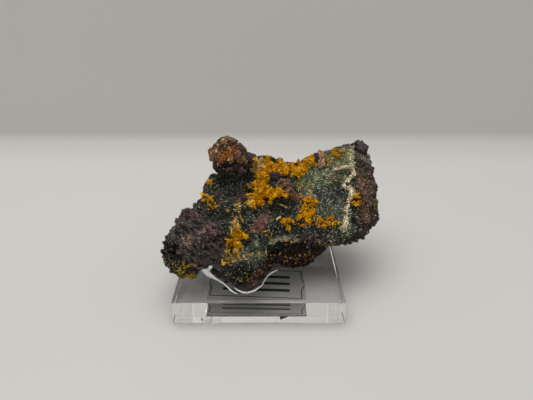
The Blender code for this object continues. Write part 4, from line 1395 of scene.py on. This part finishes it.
# %% [markdown]
# ## Clear things: the acrylic block and the glue
#
# Both are see-through by plain transmission. The block is sawn and polished: its edges are
# slightly rounded, which catches the light along each edge. Glue that has set on acrylic leaves
# no seam that light can see, so the two are modelled apart and then united with a Boolean. Left
# as two closed solids they would meet in a sliver of air, which shines like a mirror from inside.
# Inside a corner of the block, light is thrown to and fro more often than the renderer follows,
# and such a corner would turn black. There the material gives off the pale tone of the room in
# the light's stead: where a ray has been thrown back four times and would be once more.
# The CAD block has a shallow pocket for the card; here the block is solid and the card lies
# inside its lowest third of a millimetre, in touch with it on all sides, as a stuck label is.

# %% Clear materials
ACRYLIC_IOR = 1.49
POLISH_RANGE = (0.45, 0.8)
MOST_THROWS, STEP_TO_MOST = 4, (0.6, 0.4)
HELD_IN = (0.98, 1.0)
PALE_ROOM = (0.46, 0.455, 0.44, 1)


def clear_material(name, colour, roughest, scale):
    """A polished clear plastic with faint uneven polish, and a painted glow of the room's tone in
    its deep corners.
    """
    material, tree, shader = new_material(name)
    polish = clouds(tree, place_on_object(tree), scale, 3.0)
    unevenness = remap(tree, polish, *POLISH_RANGE, 0.0, roughest)
    tree.links.new(unevenness, shader.inputs["Roughness"])
    shader.inputs["Base Color"].default_value = colour
    shader.inputs["Transmission Weight"].default_value = 1.0
    shader.inputs["IOR"].default_value = ACRYLIC_IOR
    throws = add_node(tree, "ShaderNodeLightPath").outputs["Glossy Depth"]
    held_in = add_node(tree, "ShaderNodeFresnel", {"IOR": ACRYLIC_IOR}).outputs["Fac"]
    thrown = remap(tree, throws, *(MOST_THROWS - step for step in STEP_TO_MOST))
    lost = calculate(tree, "MULTIPLY", thrown, remap(tree, held_in, *HELD_IN))
    room = mix_colours(tree, lost, (0, 0, 0, 1), PALE_ROOM)
    tree.links.new(room, shader.inputs["Emission Color"])
    shader.inputs["Emission Strength"].default_value = 1.0
    return material


acrylic = clear_material("acrylic", (0.985, 0.985, 0.985, 1), roughest=0.03, scale=0.4)
glue_finish = clear_material("glue", (0.985, 0.985, 0.98, 1), roughest=0.04, scale=0.8)
print("clear finishes made, IOR", ACRYLIC_IOR)

# %% Acrylic block
BLOCK_BEVEL, BEVEL_SEGMENTS = 0.14, 2

low, high = (np.array(corner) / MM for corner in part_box("acrylic_base"))
middle, size = (low + high) / 2, high - low
signs = np.array([(x, y, z) for z in (-1, 1) for y in (-1, 1) for x in (-1, 1)])
block_faces = [(0, 2, 3, 1), (4, 5, 7, 6), (0, 1, 5, 4), (1, 3, 7, 5), (3, 2, 6, 7), (2, 0, 4, 6)]
block = make_piece("clear_block", middle + signs * size / 2, block_faces, acrylic)
bevel = block.modifiers.new("bevel", "BEVEL")
bevel.width = BLOCK_BEVEL * MM
bevel.segments = BEVEL_SEGMENTS
bevel.limit_method = "NONE"
print("block", size.round(2), "mm")

# %% Glue
GLUE_OUTLINE = [
    (-14.9, -7.0), (-12.6, -9.6), (-10.2, -11.6), (-8.5, -13.2), (-6.8, -15.4), (-5.0, -16.8),
    (-2.7, -16.6), (-0.9, -15.6), (0.7, -13.8), (1.5, -11.6), (2.4, -9.6), (3.8, -7.4),
    (8.0, -3.6), (11.4, 0.4), (11.0, 8.0), (7.0, 13.5), (-1.0, 15.0), (-8.0, 13.5),
    (-12.5, 6.0), (-14.6, -1.0),
]
GLUE_CENTRE = np.array((-1.0, -1.0))
GLUE_HEIGHT = 4.2
GLUE_SWEEP = 3.0
GLUE_INSETS = (0.0, 0.12, 0.3, 0.55, 0.9, 1.4, 2.0, 2.8, 3.8, 5.0, 6.5, 8.5)
POINTS_PER_SPAN = 6
GLUE_DIP = 0.8


def closed_curve(corners, per_span):
    """A smooth closed line through the corners."""
    corners = np.array(corners)
    before, after, beyond = (np.roll(corners, shift, axis=0) for shift in (1, -1, -2))
    rows = []
    for step in np.arange(per_span) / per_span:
        rows.append(
            0.5 * (2 * corners + (after - before) * step
                   + (2 * before - 5 * corners + 4 * after - beyond) * step ** 2
                   + (3 * corners - before - 3 * after + beyond) * step ** 3)
        )
    return np.stack(rows, axis=1).reshape(-1, 2)


def closed_tube(rings, around):
    """The faces between rings of points, with a cap on the first and on the last ring."""
    faces = [
        (ring + here, ring + after, ring + around + after, ring + around + here)
        for ring in range(0, (rings - 1) * around, around)
        for here, after in zip(range(around), [*range(1, around), 0])
    ]
    faces.append(tuple(reversed(range(around))))
    faces.append(tuple(range(around * (rings - 1), around * rings)))
    return faces


outline = closed_curve(GLUE_OUTLINE, POINTS_PER_SPAN)
block_top = high[2]
around = len(outline)
inward = unit(GLUE_CENTRE - outline)
rings = [np.column_stack([outline, np.full(around, block_top - GLUE_DIP)])]
for inset in GLUE_INSETS:
    lift = GLUE_HEIGHT * (1 - math.exp(-inset / GLUE_SWEEP))
    rings.append(np.column_stack([outline + inward * inset, np.full(around, block_top + lift)]))
glue_faces = closed_tube(len(rings), around)
glue = make_piece("glue", np.concatenate(rings), glue_faces, glue_finish, smooth=True)
print("glue:", len(glue_faces), "faces")

# %% [markdown]
# ## The hollow under the stone
#
# The glue didn't flow right under the stone: behind the foot it left a hollow. Nobody sees it
# from above, but the block's front shows it, because light that enters there is thrown back and
# forth between the block's top and bottom. Where the top is bare it throws back the bright table
# behind, and where glue touches it, the dark stone shows. The hollow is cut with a Boolean.

# %% Hollow
HOLLOW_PLACE, HOLLOW_SIZE = (-2.2, -6.2), (15.0, 5.6, 4.0)
HOLLOW_ROUNDING, ROUNDING_SEGMENTS = 1.2, 3

hollow_points = np.array((*HOLLOW_PLACE, block_top)) + signs * np.array(HOLLOW_SIZE) / 2
hollow = make_piece("hollow", hollow_points, block_faces)
rounding = hollow.modifiers.new("rounding", "BEVEL")
rounding.width = HOLLOW_ROUNDING * MM
rounding.segments = ROUNDING_SEGMENTS
cut = glue.modifiers.new("hollow", "BOOLEAN")
cut.operation = "DIFFERENCE"
cut.solver = "EXACT"
cut.object = hollow
graph = bpy.context.evaluated_depsgraph_get()
glue_mesh = bpy.data.meshes.new_from_object(glue.evaluated_get(graph))
glue.modifiers.clear()
glue.data = glue_mesh
bpy.data.objects.remove(hollow)
print("glue with its hollow:", len(glue_mesh.polygons), "faces")

# %% Unite the block and the glue
union = block.modifiers.new("glue", "BOOLEAN")
union.operation = "UNION"
union.solver = "EXACT"
union.object = glue
union.material_mode = "TRANSFER"
graph = bpy.context.evaluated_depsgraph_get()
united = bpy.data.meshes.new_from_object(block.evaluated_get(graph))
block.modifiers.clear()
block.data = united
bpy.data.objects.remove(glue)
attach(block, "root")
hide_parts("acrylic_base", "glue_dab")
print("block and glue:", len(united.polygons), "faces,", len(united.materials), "materials")

# %% [markdown]
# ## The rim of the glue
#
# Where the glue ends on the acrylic, its rounded edge shows as a bright line round the foot. It is
# a thin bead laid along the rim, painted white with a faint glow as a painted highlight, and
# thicker to the left, where the glue stands up as a small web between foot and lobe.

# %% Glue rim
RIM_LINES = [
    [((-14.7, -6.8), 0.08, 0.3), ((-13.9, -8.0), 0.25, 1.0), ((-13.0, -9.0), 0.35, 1.5),
     ((-12.0, -9.9), 0.25, 1.0), ((-10.2, -11.5), 0.12, 0.35), ((-8.5, -13.0), 0.1, 0.28),
     ((-6.9, -15.2), 0.11, 0.28), ((-5.9, -16.2), 0.08, 0.2), ((-5.0, -16.8), 0.04, 0.1)],
    [((-5.7, -14.6), 0.04, 0.12), ((-4.8, -15.6), 0.08, 0.25), ((-3.8, -16.2), 0.1, 0.3),
     ((-2.7, -16.4), 0.09, 0.28), ((-1.0, -15.6), 0.08, 0.26), ((0.5, -13.9), 0.08, 0.25),
     ((1.3, -11.8), 0.08, 0.25), ((2.2, -9.8), 0.08, 0.25), ((3.2, -8.5), 0.08, 0.25),
     ((4.6, -7.4), 0.05, 0.15)],
]
RIM_SIDES, RIM_STEPS = 8, 6
RIM_LIFT = 0.05
RIM_HIGHLIGHT_DIM, RIM_HIGHLIGHT_BRIGHT = srgb(236, 234, 228), srgb(255, 255, 252)
HIGHLIGHT_CLOUD_SCALE, HIGHLIGHT_CLOUD_RANGE = 1.5, (0.35, 0.65)

# This finish is a painted highlight of the glue's rounded edge: white, with a faint glow.
rim_highlight, tree, shader = new_material("glue rim painted highlight")
highlight_cloud = clouds(tree, place_on_object(tree), HIGHLIGHT_CLOUD_SCALE, 3.0)
highlight_tone = mix_colours(tree, remap(tree, highlight_cloud, *HIGHLIGHT_CLOUD_RANGE), RIM_HIGHLIGHT_DIM, RIM_HIGHLIGHT_BRIGHT)
tree.links.new(highlight_tone, shader.inputs["Base Color"])
shader.inputs["Roughness"].default_value = 0.25
shader.inputs["Emission Color"].default_value = (1.0, 1.0, 0.98, 1.0)
shader.inputs["Emission Strength"].default_value = 0.22


def bead(line, level, per_span):
    """A closed bead along a line, whose places have a half width and a height each."""
    stations = np.array([(*spot, width, height) for spot, width, height in line])
    steps = np.linspace(0, len(line) - 1, (len(line) - 1) * per_span + 1)
    rows = np.stack([np.interp(steps, range(len(line)), column) for column in stations.T], 1)
    ways = unit(np.gradient(rows[:, :2], axis=0))
    turns = np.arange(RIM_SIDES) * 2 * math.pi / RIM_SIDES
    points = []
    for (x, y, width, height), (way_x, way_y) in zip(rows, ways):
        for turn in turns:
            shift = width * math.cos(turn)
            points.append((x - way_y * shift, y + way_x * shift, level + height * math.sin(turn)))
    return points, closed_tube(len(rows), RIM_SIDES)


for number, line in enumerate(RIM_LINES, 1):
    points, faces = bead(line, block_top + RIM_LIFT, RIM_STEPS)
    rim = make_piece(f"glue_rim_highlight_{number}", points, faces, rim_highlight, smooth=True)
    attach(rim, "root")
print(len(RIM_LINES), "beads of glue")

# %% [markdown]
# ## The card
#
# A small paper card with a thin printed border, whose sides come to a point half way up. It has
# ruled lines and no writing. The print is drawn by the material, from distances worked out on the
# card's own plane.

# %% Card material
CARD_CENTRE = (-0.6, -9.0)
CARD_TURN = math.radians(-3.0)
BORDER_HALF = (11.2, 5.3)
BORDER_POINT, POINT_RISE = 0.9, 2.4
BORDER_LINE, BORDER_SOFTNESS = 0.16, 0.6
RULED_HEIGHTS = (-2.6, 0.0, 2.6)
RULED_HALF, RULED_FADE = 8.4, 0.2
RULED_LINE, RULED_SOFTNESS = 0.6, 0.7
INK, PAPER_DARK, PAPER_PALE = srgb(28, 28, 32), srgb(176, 174, 172), srgb(192, 190, 188)
FIBRE_SCALE, FIBRE_RANGE = 3.0, (0.35, 0.65)

card, tree, shader = new_material("card")
where = place_on_object(tree)
moved = vector_step(tree, "SUBTRACT", where, (*CARD_CENTRE, 0))
turned = add_node(
    tree, "ShaderNodeVectorRotate", {"Vector": moved, "Angle": -CARD_TURN}, rotation_type="Z_AXIS"
).outputs["Vector"]
axes = add_node(tree, "ShaderNodeSeparateXYZ", {"Vector": turned}).outputs
side = calculate(tree, "ABSOLUTE", axes["X"])
rise = calculate(tree, "ABSOLUTE", axes["Y"])
point_out = remap(tree, rise, 0.0, POINT_RISE, BORDER_POINT, 0.0)
side_edge = calculate(tree, "SUBTRACT", side, calculate(tree, "ADD", point_out, BORDER_HALF[0]))
end_edge = calculate(tree, "SUBTRACT", rise, BORDER_HALF[1])
edge = calculate(tree, "ABSOLUTE", calculate(tree, "MAXIMUM", side_edge, end_edge))
border = remap(tree, edge, BORDER_LINE, BORDER_LINE * BORDER_SOFTNESS)
for height in RULED_HEIGHTS:
    off = calculate(tree, "ABSOLUTE", calculate(tree, "SUBTRACT", axes["Y"], height))
    rule = remap(tree, off, RULED_LINE, RULED_LINE * RULED_SOFTNESS)
    inside = remap(tree, side, RULED_HALF, RULED_HALF - RULED_FADE)
    border = calculate(tree, "MAXIMUM", border, calculate(tree, "MULTIPLY", rule, inside))
fibre = remap(tree, clouds(tree, where, FIBRE_SCALE, 4.0), *FIBRE_RANGE)
paper = mix_colours(tree, fibre, PAPER_DARK, PAPER_PALE)
printed = mix_colours(tree, border, paper, INK)
tree.links.new(printed, shader.inputs["Base Color"])
shader.inputs["Roughness"].default_value = 0.8

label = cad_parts["label"]
label.data.materials.clear()
label.data.materials.append(card)
print("card finish on the CAD node", label.name)

# %% [markdown]
# ## The table, the backdrop and the light
#
# The object stands on a plain pale table that turns up into a low wall behind it. The light is a
# wide soft panel overhead, a little to the left, and an even pale surround. None of this belongs
# to the object.

# %% Stage
WALL_DISTANCE = 108.0
WALL_HEIGHT = 85.0
WALL_CURVE = 6.0
TABLE_REACH = 1500.0
TABLE_GAP = 0.05
TABLE_TONE, TABLE_PALE = (0.67, 0.66, 0.64, 1), (0.70, 0.69, 0.67, 1)
WALL_TONE, WALL_TOP_TONE = (0.67, 0.655, 0.635, 1), (0.8, 0.79, 0.77, 1)
WALL_FOOT, WALL_TOP = (0.5, 6.0), (66.0, 72.0)
CLOUD_SCALE = 0.02

profile = [(-TABLE_REACH, 0.0)]
for angle in np.radians(np.linspace(0, 90, 9)):
    profile.append((
        WALL_DISTANCE - WALL_CURVE + WALL_CURVE * math.sin(angle),
        WALL_CURVE - WALL_CURVE * math.cos(angle),
    ))
profile.append((WALL_DISTANCE, WALL_HEIGHT))
stage_points = [(x, y, z - TABLE_GAP) for x in (-TABLE_REACH, TABLE_REACH) for y, z in profile]
steps = len(profile)
stage_faces = [(i, i + steps, i + steps + 1, i + 1) for i in range(steps - 1)]

table, tree, shader = new_material("table")
where = place_on_object(tree)
cloud = clouds(tree, where, CLOUD_SCALE, 2.0)
height = add_node(tree, "ShaderNodeSeparateXYZ", {"Vector": where}).outputs["Z"]
on_wall = remap(tree, height, *WALL_FOOT)
table_tone = mix_colours(tree, cloud, TABLE_TONE, TABLE_PALE)
wall_tone = mix_colours(tree, remap(tree, height, *WALL_TOP), WALL_TONE, WALL_TOP_TONE)
tone = mix_colours(tree, on_wall, table_tone, wall_tone)
tree.links.new(tone, shader.inputs["Base Color"])
shader.inputs["Roughness"].default_value = 0.6
stage = make_piece("table", stage_points, stage_faces, table, smooth=True)
print("wall", WALL_DISTANCE, "mm behind the object")

# %% Light
PANEL_SIZE = 460.0
PANEL_PLACE = (-45.0, 10.0, 520.0)
PANEL_POWER, PANEL_TONE = 1.62, (1.0, 0.985, 0.96)
SURROUND = (0.42, 0.415, 0.405, 1)

panel_data = bpy.data.lights.new("panel", "AREA")
panel_data.size = PANEL_SIZE * MM
panel_data.energy = PANEL_POWER
panel_data.color = PANEL_TONE
panel = bpy.data.objects.new("panel", panel_data)
panel.location = Vector(PANEL_PLACE) * MM
panel.rotation_euler = (-Vector(PANEL_PLACE)).to_track_quat("-Z", "Y").to_euler()
bpy.context.scene.collection.objects.link(panel)

world = bpy.data.worlds.new("surround")
world.use_nodes = True
world.node_tree.nodes["Background"].inputs["Color"].default_value = SURROUND
bpy.context.scene.world = world
bpy.context.scene.view_settings.view_transform = "Standard"
print("light: a panel of", PANEL_SIZE, "mm and a pale surround")
